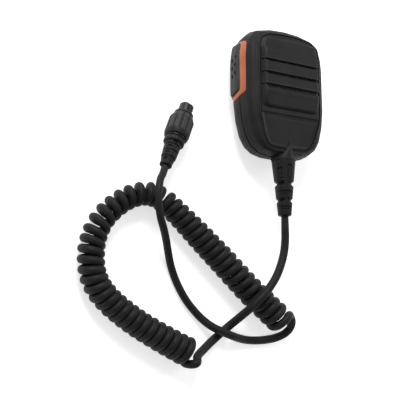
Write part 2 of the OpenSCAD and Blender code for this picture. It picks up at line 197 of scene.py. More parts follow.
class Skin:
    """Gathers grids of points into the mesh of one piece."""

    def __init__(self, name: str) -> None:
        """Starts an empty piece with a name."""
        self.name = name
        self.points: list = []
        self.wear_and_highlights: list = []
        self.recess_shades: list = []
        self.faces: list = []
        self.total = 0

    def grid(self, points: np.ndarray, around: bool = False, along: bool = False,
             rub: Optional[np.ndarray] = None, pocket: Optional[np.ndarray] = None) -> None:
        """Joins neighbours of a rows by columns grid into quads.

        Args:
            points: Rows by columns by 3, in millimetres.
            around: Whether the last column joins the first.
            along: Whether the last row joins the first.
            rub: How far each point is mixed toward the finish's paler edge colour, from 0 to 1: scuffing on most
                pieces, painted highlight on the louvre panel.
            pocket: How deep in a recess each point lies, from 0 to 1; the finish darkens its colour by this as
                painted shade.
        """
        rows, columns = points.shape[:2]
        index = np.arange(rows * columns).reshape(rows, columns) + self.total
        if around:
            index = np.concatenate([index, index[:, :1]], axis=1)
        if along:
            index = np.concatenate([index, index[:1]], axis=0)
        quads = np.stack([index[:-1, :-1], index[:-1, 1:], index[1:, 1:], index[1:, :-1]], axis=-1)
        self.faces += quads.reshape(-1, 4).tolist()
        flat = np.zeros((rows, columns))
        self._keep(points.reshape(-1, 3), flat if rub is None else rub, flat if pocket is None else pocket)

    def cap(self, ring: np.ndarray) -> None:
        """Closes a ring with a fan of triangles from its middle."""
        count = len(ring)
        index = np.arange(count) + self.total
        fan = np.stack([index, np.roll(index, -1), np.full(count, self.total + count)], axis=1)
        self.faces += fan.tolist()
        points = np.concatenate([ring, ring.mean(axis=0, keepdims=True)])
        self._keep(points, np.zeros(count + 1), np.zeros(count + 1))

    def turned(self, axis: Axis, profile: np.ndarray, count: int = 72, loop: bool = False) -> None:
        """Turns a profile of (radius, distance) round an axis, closed at its ends or joined into a loop."""
        bearing = np.arange(count) * TURN / count
        shape = axis.place(profile[:, :1], bearing[None], profile[:, 1:2])
        self.grid(shape, around=True, along=loop)
        if not loop:
            self.cap(shape[0])
            self.cap(shape[-1])

    def swept(self, path: np.ndarray, radius: np.ndarray, sides: int) -> None:
        """Sweeps a circle along a path without twisting it, closed at both ends.

        Args:
            path: Middle line in millimetres.
            radius: The circle's radius at each point.
            sides: Points round the circle.
        """
        heading = np.gradient(path, axis=0)
        heading /= np.linalg.norm(heading, axis=1, keepdims=True)
        side = np.empty_like(path)
        side[0] = np.cross(heading[0], [0.0, 0.0, 1.0])
        side[0] /= np.linalg.norm(side[0])
        for i in range(1, len(path)):
            carried = side[i - 1] - heading[i] * np.dot(side[i - 1], heading[i])
            side[i] = carried / np.linalg.norm(carried)
        angle = np.arange(sides)[None, :, None] * TURN / sides
        across = np.cos(angle) * side[:, None] + np.sin(angle) * np.cross(heading, side)[:, None]
        rings = path[:, None] + radius[:, None, None] * across
        self.grid(rings, around=True)
        self.cap(rings[0])
        self.cap(rings[-1])

    def _keep(self, points: np.ndarray, rub: np.ndarray, pocket: np.ndarray) -> None:
        """Stores points with their rub values (scuffing and painted highlight) and pocket values (painted shade)."""
        self.points.append(points)
        self.wear_and_highlights.append(np.broadcast_to(rub, rub.shape).reshape(-1))
        self.recess_shades.append(np.broadcast_to(pocket, pocket.shape).reshape(-1))
        self.total += len(points)

    def made(self, lift: float = 0.0, sharp: float = 34.0) -> bpy.types.Object:
        """Makes the object, welds its seams, turns its faces outward and marks its sharp edges.

        Args:
            lift: How far to raise the points, in millimetres.
            sharp: Angle in degrees past which an edge stays crisp.

        Returns:
            The finished object, at the origin.
        """
        mesh = bpy.data.meshes.new(self.name)
        points = (np.concatenate(self.points) + [0.0, 0.0, lift]) * MM
        mesh.from_pydata(points.tolist(), [], self.faces)
        # Lighter edges (scuffing, and painted highlight on the louvre panel) and recesses darkened as painted shade
        # are kept as two point attributes.
        for label, values in (("rub", self.wear_and_highlights), ("pocket", self.recess_shades)):
            layer = mesh.attributes.new(label, "FLOAT", "POINT")
            layer.data.foreach_set("value", np.concatenate(values).astype(np.float32))
        shell = bmesh.new()
        shell.from_mesh(mesh)
        bmesh.ops.remove_doubles(shell, verts=shell.verts, dist=2e-6)
        bmesh.ops.recalc_face_normals(shell, faces=shell.faces)
        shell.to_mesh(mesh)
        shell.free()
        crisp(mesh, sharp)
        piece = bpy.data.objects.new(self.name, mesh)
        bpy.context.scene.collection.objects.link(piece)
        return piece


def crisp(mesh: bpy.types.Mesh, angle: float) -> None:
    """Shades a mesh smooth and keeps edges past an angle in degrees sharp."""
    mesh.shade_smooth()
    mesh.set_sharp_from_angle(angle=math.radians(angle))


def carve(piece: bpy.types.Object, cutters: Sequence[bpy.types.Object], sharp: float = 34.0) -> None:
    """Takes the cutters' volumes out of a piece and removes the cutters."""
    for cutter in cutters:
        cut = piece.modifiers.new("cut", "BOOLEAN")
        cut.operation, cut.solver, cut.object = "DIFFERENCE", "EXACT", cutter
    seen = piece.evaluated_get(bpy.context.evaluated_depsgraph_get())
    mesh = bpy.data.meshes.new_from_object(seen)
    piece.modifiers.clear()
    piece.data = mesh
    crisp(mesh, sharp)
    for cutter in cutters:
        bpy.data.objects.remove(cutter)


def settle(piece: bpy.types.Object, body: str, slot: str, material: bpy.types.Material,
           *nodes: str) -> bpy.types.Object:
    """Dresses a piece, makes it ride on a body and stand for its nodes.

    Args:
        piece: The finished object.
        body: The body that it moves with.
        slot: The record's finish name; not used.
        material: What it is made of.
        nodes: The frame's nodes that it replaces.

    Returns:
        The same piece.
    """
    piece.data.materials.clear()
    piece.data.materials.append(material)
    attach(piece, body)
    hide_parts(*nodes)
    LOG.info("%s: %d faces", piece.name, len(getattr(piece.data, "polygons", ())))
    return piece


# ---------- finishes ----------


class Effect(Enum):
    """Surface effects that several finishes share."""

    GRAIN = "moulded grain"
    MOTTLE = "handling marks"
    # Lighter edges: scuffing, and painted highlight on the louvre panel.
    RUB = "rubbed edges"
    WEAVE = "woven threads"


class EffectLibrary:
    """Builds each shared effect once, as a node group."""

    def __init__(self) -> None:
        """Starts with no groups built."""
        self.groups: dict = {}

    def get(self, effect: Effect) -> bpy.types.NodeTree:
        """Gives an effect's group, building it the first time."""
        if effect not in self.groups:
            build = {Effect.GRAIN: self._grain, Effect.MOTTLE: self._mottle,
                     Effect.RUB: self._wear_and_highlight, Effect.WEAVE: self._weave}[effect]
            self.groups[effect] = build(effect.value)
        return self.groups[effect]

    @staticmethod
    def _start(name: str, inputs: Sequence[tuple], outputs: Sequence[str]) -> tuple:
        """Starts a group with a position, number inputs and number outputs."""
        tree = bpy.data.node_groups.new(name, "ShaderNodeTree")
        tree.interface.new_socket("Position", in_out="INPUT", socket_type="NodeSocketVector")
        for label, value in inputs:
            tree.interface.new_socket(label, in_out="INPUT", socket_type="NodeSocketFloat").default_value = value
        for label in outputs:
            tree.interface.new_socket(label, in_out="OUTPUT", socket_type="NodeSocketFloat")
        return tree, tree.nodes.new("NodeGroupInput"), tree.nodes.new("NodeGroupOutput")

    @staticmethod
    def _math(tree: bpy.types.NodeTree, operation: str, first: object, second: object) -> object:
        """Adds a math node on two sockets or numbers and gives its output."""
        node = tree.nodes.new("ShaderNodeMath")
        node.operation = operation
        for socket, source in zip(node.inputs, (first, second)):
            if isinstance(source, (int, float)):
                socket.default_value = source
            else:
                tree.links.new(source, socket)
        return node.outputs[0]

    @staticmethod
    def _noise(tree: bpy.types.NodeTree, position: object, scale: object, detail: float, rough: float) -> object:
        """Adds a noise texture at a position and gives its value."""
        node = tree.nodes.new("ShaderNodeTexNoise")
        node.inputs["Detail"].default_value = detail
        node.inputs["Roughness"].default_value = rough
        tree.links.new(position, node.inputs["Vector"])
        if isinstance(scale, (int, float)):
            node.inputs["Scale"].default_value = scale
        else:
            tree.links.new(scale, node.inputs["Scale"])
        return node.outputs["Fac"]

    def _grain(self, name: str) -> bpy.types.NodeTree:
        """Fine spark-eroded grain: cells of two sizes with noise between them."""
        tree, given, out = self._start(name, [("Scale", 2600.0)], ["Height"])
        cells = tree.nodes.new("ShaderNodeTexVoronoi")
        cells.feature = "SMOOTH_F1"
        tree.links.new(given.outputs["Position"], cells.inputs["Vector"])
        tree.links.new(given.outputs["Scale"], cells.inputs["Scale"])
        wide = self._math(tree, "MULTIPLY", given.outputs["Scale"], 0.45)
        noise = self._noise(tree, given.outputs["Position"], wide, 3.0, 0.6)
        tree.links.new(self._math(tree, "ADD", self._math(tree, "MULTIPLY", cells.outputs["Distance"], 0.6), noise),
                       out.inputs["Height"])
        return tree

    def _mottle(self, name: str) -> bpy.types.NodeTree:
        """Soft patches and faint smears left by hands: a wide noise and a stretched fine one."""
        tree, given, out = self._start(name, [("Size", 60.0)], ["Tone", "Smear"])
        tone = self._noise(tree, given.outputs["Position"], given.outputs["Size"], 2.0, 0.5)
        tree.links.new(tone, out.inputs["Tone"])
        stretch = tree.nodes.new("ShaderNodeMapping")
        stretch.inputs["Scale"].default_value = (1.0, 0.22, 1.0)
        stretch.inputs["Rotation"].default_value = (0.2, 0.1, 0.5)
        tree.links.new(given.outputs["Position"], stretch.inputs["Vector"])
        fine = self._math(tree, "MULTIPLY", given.outputs["Size"], 6.0)
        smear = self._noise(tree, stretch.outputs["Vector"], fine, 4.0, 0.65)
        tree.links.new(self._math(tree, "POWER", smear, 2.0), out.inputs["Smear"])
        return tree

    def _wear_and_highlight(self, name: str) -> bpy.types.NodeTree:
        """Lighter edges, scuffing and painted highlight: the piece's own rub value broken up by noise."""
        tree, given, out = self._start(name, [("Amount", 1.0)], ["Mask"])
        value = tree.nodes.new("ShaderNodeAttribute")
        value.attribute_name = "rub"
        broken = self._noise(tree, given.outputs["Position"], 900.0, 3.0, 0.7)
        mask = self._math(tree, "MULTIPLY", value.outputs["Fac"], self._math(tree, "ADD", broken, 0.25))
        tree.links.new(self._math(tree, "MULTIPLY", mask, given.outputs["Amount"]), out.inputs["Mask"])
        return tree

    def _weave(self, name: str) -> bpy.types.NodeTree:
        """Over and under threads: the greater of two crossed rows of bands."""
        tree, given, out = self._start(name, [("Threads", 1500.0)], ["Height"])
        rows = []
        for direction in ("X", "Y"):
            band = tree.nodes.new("ShaderNodeTexWave")
            band.bands_direction = direction
            tree.links.new(given.outputs["Position"], band.inputs["Vector"])
            tree.links.new(given.outputs["Threads"], band.inputs["Scale"])
            rows.append(band.outputs["Fac"])
        tree.links.new(self._math(tree, "MAXIMUM", rows[0], rows[1]), out.inputs["Height"])
        return tree


@dataclass(frozen=True)
class Finish:
    """A moulded, turned or sprayed finish with grain, handling marks, scuffed edges that also carry painted
    highlights on the louvre panel, and recesses darkened as painted shade.
    """

    name: str
    colour: tuple
    tone: tuple
    rough: float = 0.5
    rough_spread: float = 0.14
    metallic: float = 0.0
    specular: float = 0.5
    coat: float = 0.0
    grain: float = 2600.0
    depth: float = 0.00003
    patch: float = 60.0
    # Paler edge colour and its amount: scuffing on most pieces, painted highlight on the louvre panel.
    wear_and_highlight_colour: tuple = (0.2, 0.2, 0.2)
    wear_and_highlight_amount: float = 0.35
    sheen: float = 0.0
    effect: Effect = Effect.GRAIN
    # Colour that recesses are darkened toward: painted shade.
    pocket: tuple = (0.006, 0.006, 0.006)

    def material(self, effects: EffectLibrary) -> bpy.types.Material:
        """Builds the finish's node material.

        Args:
            effects: Where the shared groups come from.

        Returns:
            The material: patches mix colour and tone, scuffed edges and painted highlights lighten, recesses darken
                as painted shade, grain lifts the bump.
        """
        material = bpy.data.materials.new(self.name)
        material.use_nodes = True
        tree = material.node_tree
        shader = tree.nodes["Principled BSDF"]
        shader.inputs["Metallic"].default_value = self.metallic
        shader.inputs["Specular IOR Level"].default_value = self.specular
        shader.inputs["Coat Weight"].default_value = self.coat
        shader.inputs["Coat Roughness"].default_value = 0.3
        shader.inputs["Sheen Weight"].default_value = self.sheen
        shader.inputs["Sheen Roughness"].default_value = 0.5
        place = tree.nodes.new("ShaderNodeTexCoord").outputs["Object"]
        mottle = self._group(tree, effects, Effect.MOTTLE, place, "Size", self.patch)
        mixed = self._mix(tree, self._spread(tree, mottle.outputs["Tone"], 0.38, 0.62), self.colour, self.tone)
        # Lighter edges: scuffing, and painted highlight where a piece marks highlights.
        rub = self._group(tree, effects, Effect.RUB, place, "Amount", self.wear_and_highlight_amount)
        mixed = self._mix(tree, rub.outputs["Mask"], mixed, self.wear_and_highlight_colour)
        # Painted shade: recesses are darkened by the point attribute.
        recess = tree.nodes.new("ShaderNodeAttribute")
        recess.attribute_name = "pocket"
        mixed = self._mix(tree, recess.outputs["Fac"], mixed, self.pocket)
        tree.links.new(mixed, shader.inputs["Base Color"])
        rough = self._spread(tree, mottle.outputs["Smear"], 0.1, 0.5, self.rough - self.rough_spread / 2,
                             self.rough + self.rough_spread / 2)
        tree.links.new(rough, shader.inputs["Roughness"])
        label = "Threads" if self.effect is Effect.WEAVE else "Scale"
        grain = self._group(tree, effects, self.effect, place, label, self.grain)
        bump = tree.nodes.new("ShaderNodeBump")
        bump.inputs["Strength"].default_value = 0.6
        bump.inputs["Distance"].default_value = self.depth
        tree.links.new(grain.outputs["Height"], bump.inputs["Height"])
        tree.links.new(bump.outputs["Normal"], shader.inputs["Normal"])
        return material

    @staticmethod
    def _group(tree: bpy.types.NodeTree, effects: EffectLibrary, effect: Effect, place: object,
               label: str, value: float) -> bpy.types.Node:
        """Places a shared effect with its own value."""
        node = tree.nodes.new("ShaderNodeGroup")
        node.node_tree = effects.get(effect)
        node.inputs[label].default_value = value
        tree.links.new(place, node.inputs["Position"])
        return node

    @staticmethod
    def _mix(tree: bpy.types.NodeTree, mask: object, first: object, second: object) -> object:
        """Mixes two colours, each a socket or three numbers, by a mask."""
        node = tree.nodes.new("ShaderNodeMix")
        node.data_type = "RGBA"
        tree.links.new(mask, node.inputs["Factor"])
        for socket, source in ((node.inputs["A"], first), (node.inputs["B"], second)):
            if isinstance(source, tuple):
                entry = next(s for s in node.inputs if s.identifier == f"{socket.name}_Color")
                entry.default_value = (*source, 1.0)
            else:
                tree.links.new(source, next(s for s in node.inputs if s.identifier == f"{socket.name}_Color"))
        return next(s for s in node.outputs if s.identifier == "Result_Color")

    @staticmethod
    def _spread(tree: bpy.types.NodeTree, source: object, low: float, high: float,
                to_low: float = 0.0, to_high: float = 1.0) -> object:
        """Carries a value's range from low and high to two others."""
        node = tree.nodes.new("ShaderNodeMapRange")
        for label, value in (("From Min", low), ("From Max", high), ("To Min", to_low), ("To Max", to_high)):
            node.inputs[label].default_value = value
        tree.links.new(source, node.inputs["Value"])
        return node.outputs["Result"]


class Finishes:
    """Every finish of the microphone, each made into a material once."""

    SET = (
        Finish("case_plastic", (0.0115, 0.0115, 0.0130), (0.0155, 0.0155, 0.0170), rough=0.58, specular=0.22),
        # The louvre panel's recesses are darkened toward this colour as painted shade.
        Finish("grille_plastic", (0.0125, 0.0125, 0.0140), (0.0165, 0.0165, 0.0180), rough=0.55, specular=0.24,
               pocket=(0.004, 0.004, 0.004)),
        Finish("key_plastic", (0.022, 0.025, 0.025), (0.029, 0.032, 0.032), rough=0.5, specular=0.3, grain=2200.0),
        Finish("trim_plastic", (0.40, 0.085, 0.016), (0.45, 0.105, 0.022), rough=0.42, coat=0.05, depth=0.00001,
               wear_and_highlight_colour=(0.8, 0.35, 0.15), wear_and_highlight_amount=0.25),
        Finish("button_plastic", (0.013, 0.013, 0.014), (0.018, 0.018, 0.019), rough=0.42, wear_and_highlight_amount=0.6),
        Finish("seal_rubber", (0.012, 0.012, 0.012), (0.018, 0.018, 0.018), rough=0.75, sheen=0.1),
        Finish("relief_rubber", (0.0105, 0.0105, 0.0120), (0.0140, 0.0140, 0.0155), rough=0.6, specular=0.22),
        Finish("cord_jacket", (0.0105, 0.0105, 0.0118), (0.0140, 0.0140, 0.0152), rough=0.6, specular=0.24,
               grain=1700.0,
               depth=0.00002, patch=90.0),
        Finish("screw_steel", (0.45, 0.45, 0.46), (0.56, 0.56, 0.57), rough=0.3, metallic=1.0, depth=0.000008,
               grain=4000.0),
        Finish("capsule_metal", (0.62, 0.62, 0.60), (0.70, 0.70, 0.68), rough=0.33, metallic=1.0, depth=0.000008),
        Finish("mesh_cloth", (0.010, 0.010, 0.010), (0.020, 0.020, 0.020), rough=0.85, sheen=0.3,
               effect=Effect.WEAVE, grain=1500.0, depth=0.0001),
        Finish("board_laminate", (0.008, 0.075, 0.028), (0.012, 0.11, 0.04), rough=0.35, coat=0.3, patch=300.0,
               depth=0.00001),
        Finish("component_plastic", (0.018, 0.018, 0.018), (0.03, 0.03, 0.03), rough=0.45),
        Finish("pale_plastic", (0.62, 0.58, 0.47), (0.70, 0.66, 0.55), rough=0.42, depth=0.00001),
        Finish("wire_plastic", (0.30, 0.025, 0.018), (0.40, 0.04, 0.03), rough=0.4, depth=0.00001),
        Finish("ring_plastic", (0.0115, 0.0115, 0.0130), (0.0160, 0.0160, 0.0175), rough=0.52, specular=0.22,
               wear_and_highlight_amount=0.5),
        Finish("shell_metal", (0.014, 0.014, 0.015), (0.021, 0.021, 0.022), rough=0.4, metallic=0.3, grain=3600.0,
               depth=0.00001, wear_and_highlight_amount=0.6, wear_and_highlight_colour=(0.4, 0.4, 0.4)),
        Finish("insert_plastic", (0.010, 0.010, 0.011), (0.016, 0.016, 0.017), rough=0.5),
        Finish("contact_gold", (0.86, 0.60, 0.22), (0.93, 0.68, 0.30), rough=0.22, metallic=1.0, depth=0.000005),
    )

    def __init__(self) -> None:
        """Builds every material."""
        effects = EffectLibrary()
        self.ready = {finish.name: finish.material(effects) for finish in self.SET}

    def __getitem__(self, name: str) -> bpy.types.Material:
        """Gives a material by its finish's name."""
        return self.ready[name]


# ---------- studio ----------


@dataclass
class Studio:
    """Pale floor, soft lights and the camera."""

    eye: tuple = (-318.788, -169.844, 455.493)
    right: tuple = (0.865386, -0.005500, 0.501076)
    up: tuple = (-0.086444, 0.983311, 0.160086)
    back: tuple = (-0.493594, -0.181851, 0.850468)
    lens: float = 72.353

    def build(self) -> None:
        """Builds the camera, the floor and the lights."""
        self._camera()
        self._floor()
        self._lights()

    def _camera(self) -> None:
        """Sets the camera by its eye and three directions."""
        data = bpy.data.cameras.new("camera")
        data.lens, data.sensor_width, data.clip_start = self.lens, 36.0, 0.01
        camera = bpy.data.objects.new("camera", data)
        columns = np.array([self.right, self.up, self.back]).T
        placed = np.eye(4)
        placed[:3, :3], placed[:3, 3] = columns, np.array(self.eye) * MM
        camera.matrix_world = Matrix(placed.tolist())
        bpy.context.scene.collection.objects.link(camera)
        bpy.context.scene.camera = camera

    def _floor(self) -> None:
        """Lays a wide pale floor just under the object."""
        half = np.array([[-1.0, -1.0], [1.0, -1.0], [1.0, 1.0], [-1.0, 1.0]]) * 6.0
        mesh = bpy.data.meshes.new("floor")
        mesh.from_pydata(np.column_stack([half, np.full(4, -0.0002)]).tolist(), [], [[0, 1, 2, 3]])
        floor = bpy.data.objects.new("floor", mesh)
        pale = bpy.data.materials.new("pale_floor")
        pale.use_nodes = True
        shader = pale.node_tree.nodes["Principled BSDF"]
        shader.inputs["Base Color"].default_value = (0.93, 0.93, 0.93, 1.0)
        shader.inputs["Roughness"].default_value = 0.9
        shader.inputs["Specular IOR Level"].default_value = 0.1
        shader.inputs["Emission Color"].default_value = (1.0, 1.0, 1.0, 1.0)
        shader.inputs["Emission Strength"].default_value = 0.62
        mesh.materials.append(pale)
        bpy.context.scene.collection.objects.link(floor)

    def _lights(self) -> None:
        """Hangs two soft boxes and fills with a pale sky."""
        bpy.context.scene.view_settings.view_transform = "Standard"
        world = bpy.data.worlds.new("studio")
        bpy.context.scene.world = world
        world.use_nodes = True
        sky = world.node_tree.nodes["Background"]
        sky.inputs["Color"].default_value = (1.0, 1.0, 1.0, 1.0)
        sky.inputs["Strength"].default_value = 0.32
        for name, place, size, power in (
            ("key_light", (-0.4, 0.8, 0.85), 0.5, 11.0),
            ("rim_light", (0.9, 0.3, 0.5), 0.4, 2.5),
        ):
            data = bpy.data.lights.new(name, "AREA")
            data.energy, data.shape, data.size = power, "SQUARE", size
            light = bpy.data.objects.new(name, data)
            back = np.array(place) / np.linalg.norm(place)
            side = np.cross([0.0, 0.0, 1.0], back)
            side /= np.linalg.norm(side)
            turned = np.eye(4)
            turned[:3, 0], turned[:3, 1], turned[:3, 2], turned[:3, 3] = side, np.cross(back, side), back, place
            light.matrix_world = Matrix(turned.tolist())
            bpy.context.scene.collection.objects.link(light)


# ---------- cord ----------


@dataclass
class CurlyCord:
    """One cord from the case to the plug: a lead, a left-handed curl and a second lead."""

    radius: float = 2.75
    mic_lead: tuple = ((0, -82, 20.3), (0, -90, 20.3), (0.2, -98, 19.8), (-0.6, -106.5, 19.2),
                       (-3.3, -114.8, 19.2), (-7.6, -122.8, 19.8), (-13.4, -130.2, 20.4), (-19.8, -136.8, 20.6),
                       (-25.6, -142.8, 18), (-30.4, -149.4, 10.5), (-36, -155.8, 4), (-43.5, -162, 2.4))
    first_turn: tuple = ((-49.5, -166.3, 3.2), (-55.4, -170.3, 5.2), (-61.6, -174.4, 8.3))
    curl_line: tuple = ((-64, -174), (-72, -170.8), (-80, -167), (-93, -160.5), (-104, -154.5), (-114, -148),
                        (-123, -141), (-129.5, -134), (-133.5, -126), (-135, -117), (-134.5, -108), (-132, -99.5),
                        (-127.5, -91.5), (-121, -84.5), (-113, -78.5), (-104, -74.5), (-95, -73.5), (-86.5, -76.5),
                        (-77, -83.5), (-66, -93), (-54.2, -103.6), (-43.5, -113), (-32.6, -122.9), (-22.7, -131.7),
                        (-12.7, -139.8), (-3.2, -147.3), (4.8, -153.3))
    last_turn: tuple = ((9.1, -148.5, 11.2), (12.2, -152.4, 8.6), (12.6, -156.6, 5.6), (9.9, -159.8, 3.6),
                        (4.2, -162.4, 2.5), (-4, -164, 2.4))
    plug_lead: tuple = ((-12, -164.6, 2.4), (-20, -164.4, 2.6), (-28.5, -163.2, 4.8), (-36.5, -161.4, 7.8),
                        (-43.5, -159, 8.2), (-50, -155.6, 5.8), (-56, -150.6, 3.4), (-61.5, -145, 2.4),
                        (-66.5, -139.4, 2.4), (-70.8, -133, 2.4), (-74.5, -126, 2.4), (-78, -118, 3.2),
                        (-81.6, -110.2, 6.4), (-85.6, -103, 11.2), (-90, -96.4, 16.2), (-93.8, -90, 19.4),
                        (-95.6, -83, 20.5), (-96, -77, 20.6), (-95.2, -71, 19.9), (-93.1, -65, 17.8),
                        (-90.8, -61.6, 16.2), (-88.1, -55.8, 14.6), (-83.16, -45.06, 12.52), (-79.29, -36.65, 10.88))
    winding: tuple = ((0.5, -0.1), (4, 0), (38, 6), (90, 16), (113, 20), (154, 26), (174, 29), (230, 39), (249, 42),
                      (262, 44), (286, 47.8))
    curl_radius: tuple = ((0, 7.0), (10, 6.7), (40, 6.1), (65, 5.9), (100, 5.75), (125, 5.2), (145, 4.95), (160, 5.0),
                          (187, 5.5), (205, 6.3), (228, 6.7), (270, 7.0), (290, 7.2))
    thickness: tuple = ((0, 0.9), (12, 0.98), (30, 1.0), (2050, 1.0), (2160, 0.9), (2230, 0.86), (2400, 0.86))
    thickness_length: float = 2250.0
    route: list = field(default_factory=list)
    length: float = 0.0

    @staticmethod
    def smooth(points: np.ndarray, step: float) -> np.ndarray:
        """Runs a cubic through points, its slope at each the mean of its two chords weighed by length.

        Args:
            points: The points to pass through.
            step: Spacing wanted along the curve, in millimetres.

        Returns:
            Evenly spaced points on the curve.
        """
        span = np.linalg.norm(np.diff(points, axis=0), axis=1)
        place = np.concatenate([[0.0], np.cumsum(span)])
        chord = np.diff(points, axis=0) / span[:, None]
        slope = np.concatenate([chord[:1], (chord[:-1] * span[1:, None] + chord[1:] * span[:-1, None])
                                / (span[:-1] + span[1:])[:, None], chord[-1:]])
        wanted = np.linspace(0.0, place[-1], int(place[-1] / step * 4))
        i = np.clip(np.searchsorted(place, wanted, side="right") - 1, 0, len(span) - 1)
        h, t = span[i][:, None], ((wanted - place[i]) / span[i])[:, None]
        curve = ((2 * t**3 - 3 * t**2 + 1) * points[i] + (t**3 - 2 * t**2 + t) * h * slope[i]
                 + (3 * t**2 - 2 * t**3) * points[i + 1] + (t**3 - t**2) * h * slope[i + 1])
        return evenly(curve, int(round(place[-1] / step)))

    def curl(self) -> np.ndarray:
        """Winds the strand round the curl's middle line.

        Returns:
            Points middle + radius*(side*sin(phase) + up*cos(phase)), with side to the left of the line's
            heading, and the phase a quarter turn ahead of the winding's count of turns.
        """
        line = self.smooth(np.asarray(self.curl_line, float), 0.25)
        arc = np.concatenate([[0.0], np.cumsum(np.linalg.norm(np.diff(line, axis=0), axis=1))])
        heading = np.gradient(line, axis=0)
        heading /= np.linalg.norm(heading, axis=1, keepdims=True)
        side = np.stack([-heading[:, 1], heading[:, 0]], axis=1)
        table = np.asarray(self.winding, float)
        count = table[-1, 1] - table[0, 1]
        turn = np.linspace(table[0, 1], table[-1, 1], int(count * 30))
        at = np.interp(turn, table[:, 1], table[:, 0])
        u = (turn + 0.25) * TURN
        middle = np.stack([np.interp(at, arc, line[:, k]) for k in (0, 1)], axis=1)
        across = np.stack([np.interp(at, arc, side[:, k]) for k in (0, 1)], axis=1)
        across /= np.linalg.norm(across, axis=1, keepdims=True)
        reach = knots(at, self.curl_radius)
        return np.column_stack([middle + (reach * np.sin(u))[:, None] * across,
                                reach + self.radius + reach * np.cos(u)])

    def path(self) -> np.ndarray:
        """The whole cord's middle line, evenly spaced."""
        parts = (self.mic_lead, self.first_turn, self.curl(), self.last_turn, self.plug_lead)
        return self.smooth(np.concatenate([np.asarray(part, float) for part in parts]), 0.95)

    def tube(self, path: np.ndarray) -> bpy.types.Object:
        """Sweeps the cord along its path, a little thinner toward the strain relief and the plug."""
        length = np.concatenate([[0.0], np.cumsum(np.linalg.norm(np.diff(path, axis=0), axis=1))])
        skin = Skin("curly_cord")
        skin.swept(path, self.radius * knots(length * self.thickness_length / length[-1], self.thickness), 20)
        return skin.made(sharp=60.0)

    def build(self, finishes: Finishes) -> bpy.types.Object:
        """Builds the cord and keeps its route and length for declare."""
        path = self.path()
        length = float(np.linalg.norm(np.diff(path, axis=0), axis=1).sum())
        LOG.info("cord length %.0f mm", length)
        cord = settle(self.tube(path), "microphone", "cord_jacket", finishes["cord_jacket"],
                      "cord_mic_lead", "cord_curl", "cord_plug_lead")
        self.route = (path * MM).tolist()
        self.length = length * MM
        return cord

    def declare(self) -> None:
        """Turns the route of the free cord, which carries the strain relief and the plug, into points and does
        nothing more with them.
        """
        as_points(self.route)


# ---------- case ----------


@dataclass
class PanelEdge:
    """The front panel's edge, which the case opening follows."""

    widths: tuple = ((-36.4, 13.2), (-36.1, 14.6), (-35.4, 16.2), (-34, 17.6), (-31, 19.0), (-28, 20.4),
                     (-20, 23.0), (-16, 24.0), (-12, 24.2), (33, 24.2), (35.5, 23.8), (37.5, 23.0), (39.2, 21.8),
                     (40.6, 20.2), (41.5, 18.6), (42, 16.8))
    bottom: float = -36.4
    top: float = 42.0

    def half_width(self, y: np.ndarray) -> np.ndarray:
        """Half of the panel's width at each height."""
        return knots(y, self.widths)

    def bent(self, x: np.ndarray, y: np.ndarray) -> np.ndarray:
        """Heights with the top row bowed down and the bottom row bowed up toward their corners."""
        high = smooth_step(y, 36.0, self.top) * 1.1 * (x / 17.0) ** 2
        low = smooth_step(y, -31.0, self.bottom) * 0.5 * (x / 14.0) ** 2
        return y - np.minimum(high, 1.6) + low

    def ring(self, bearing: np.ndarray, middle: float, gap: float) -> np.ndarray:
        """The edge, a gap outside the panel, met at each bearing from a middle height.

        Args:
            bearing: Angles round the middle.
            middle: The height of the middle.
            gap: Distance outside the panel.

        Returns:
            Points of the edge.
        """
        y = np.linspace(self.bottom, self.top, 400)
        x = self.half_width(y)
        rows = np.linspace(-1.0, 1.0, 120)
        bottom = np.column_stack([rows * x[0], self.bent(rows * x[0], np.full(120, self.bottom))])
        top = np.column_stack([-rows * x[-1], self.bent(-rows * x[-1], np.full(120, self.top))])
        right = np.column_stack([x, self.bent(x, y)])
        left = (right * [-1.0, 1.0])[::-1]
        loop = evenly(np.concatenate([bottom, right, top, left]), 1600, closed=True)
        loop = softened(loop, 14)
        tangent = np.roll(loop, -3, axis=0) - np.roll(loop, 3, axis=0)
        outward = np.stack([tangent[:, 1], -tangent[:, 0]], axis=1)
        loop = loop + outward / np.linalg.norm(outward, axis=1, keepdims=True) * gap
        angle = np.arctan2(loop[:, 1] - middle, loop[:, 0])
        order = np.argsort(angle)
        radius = np.hypot(loop[order, 0], loop[order, 1] - middle)
        met = np.interp(bearing, angle[order], radius, period=TURN)
        return np.column_stack([met * np.cos(bearing), middle + met * np.sin(bearing)])


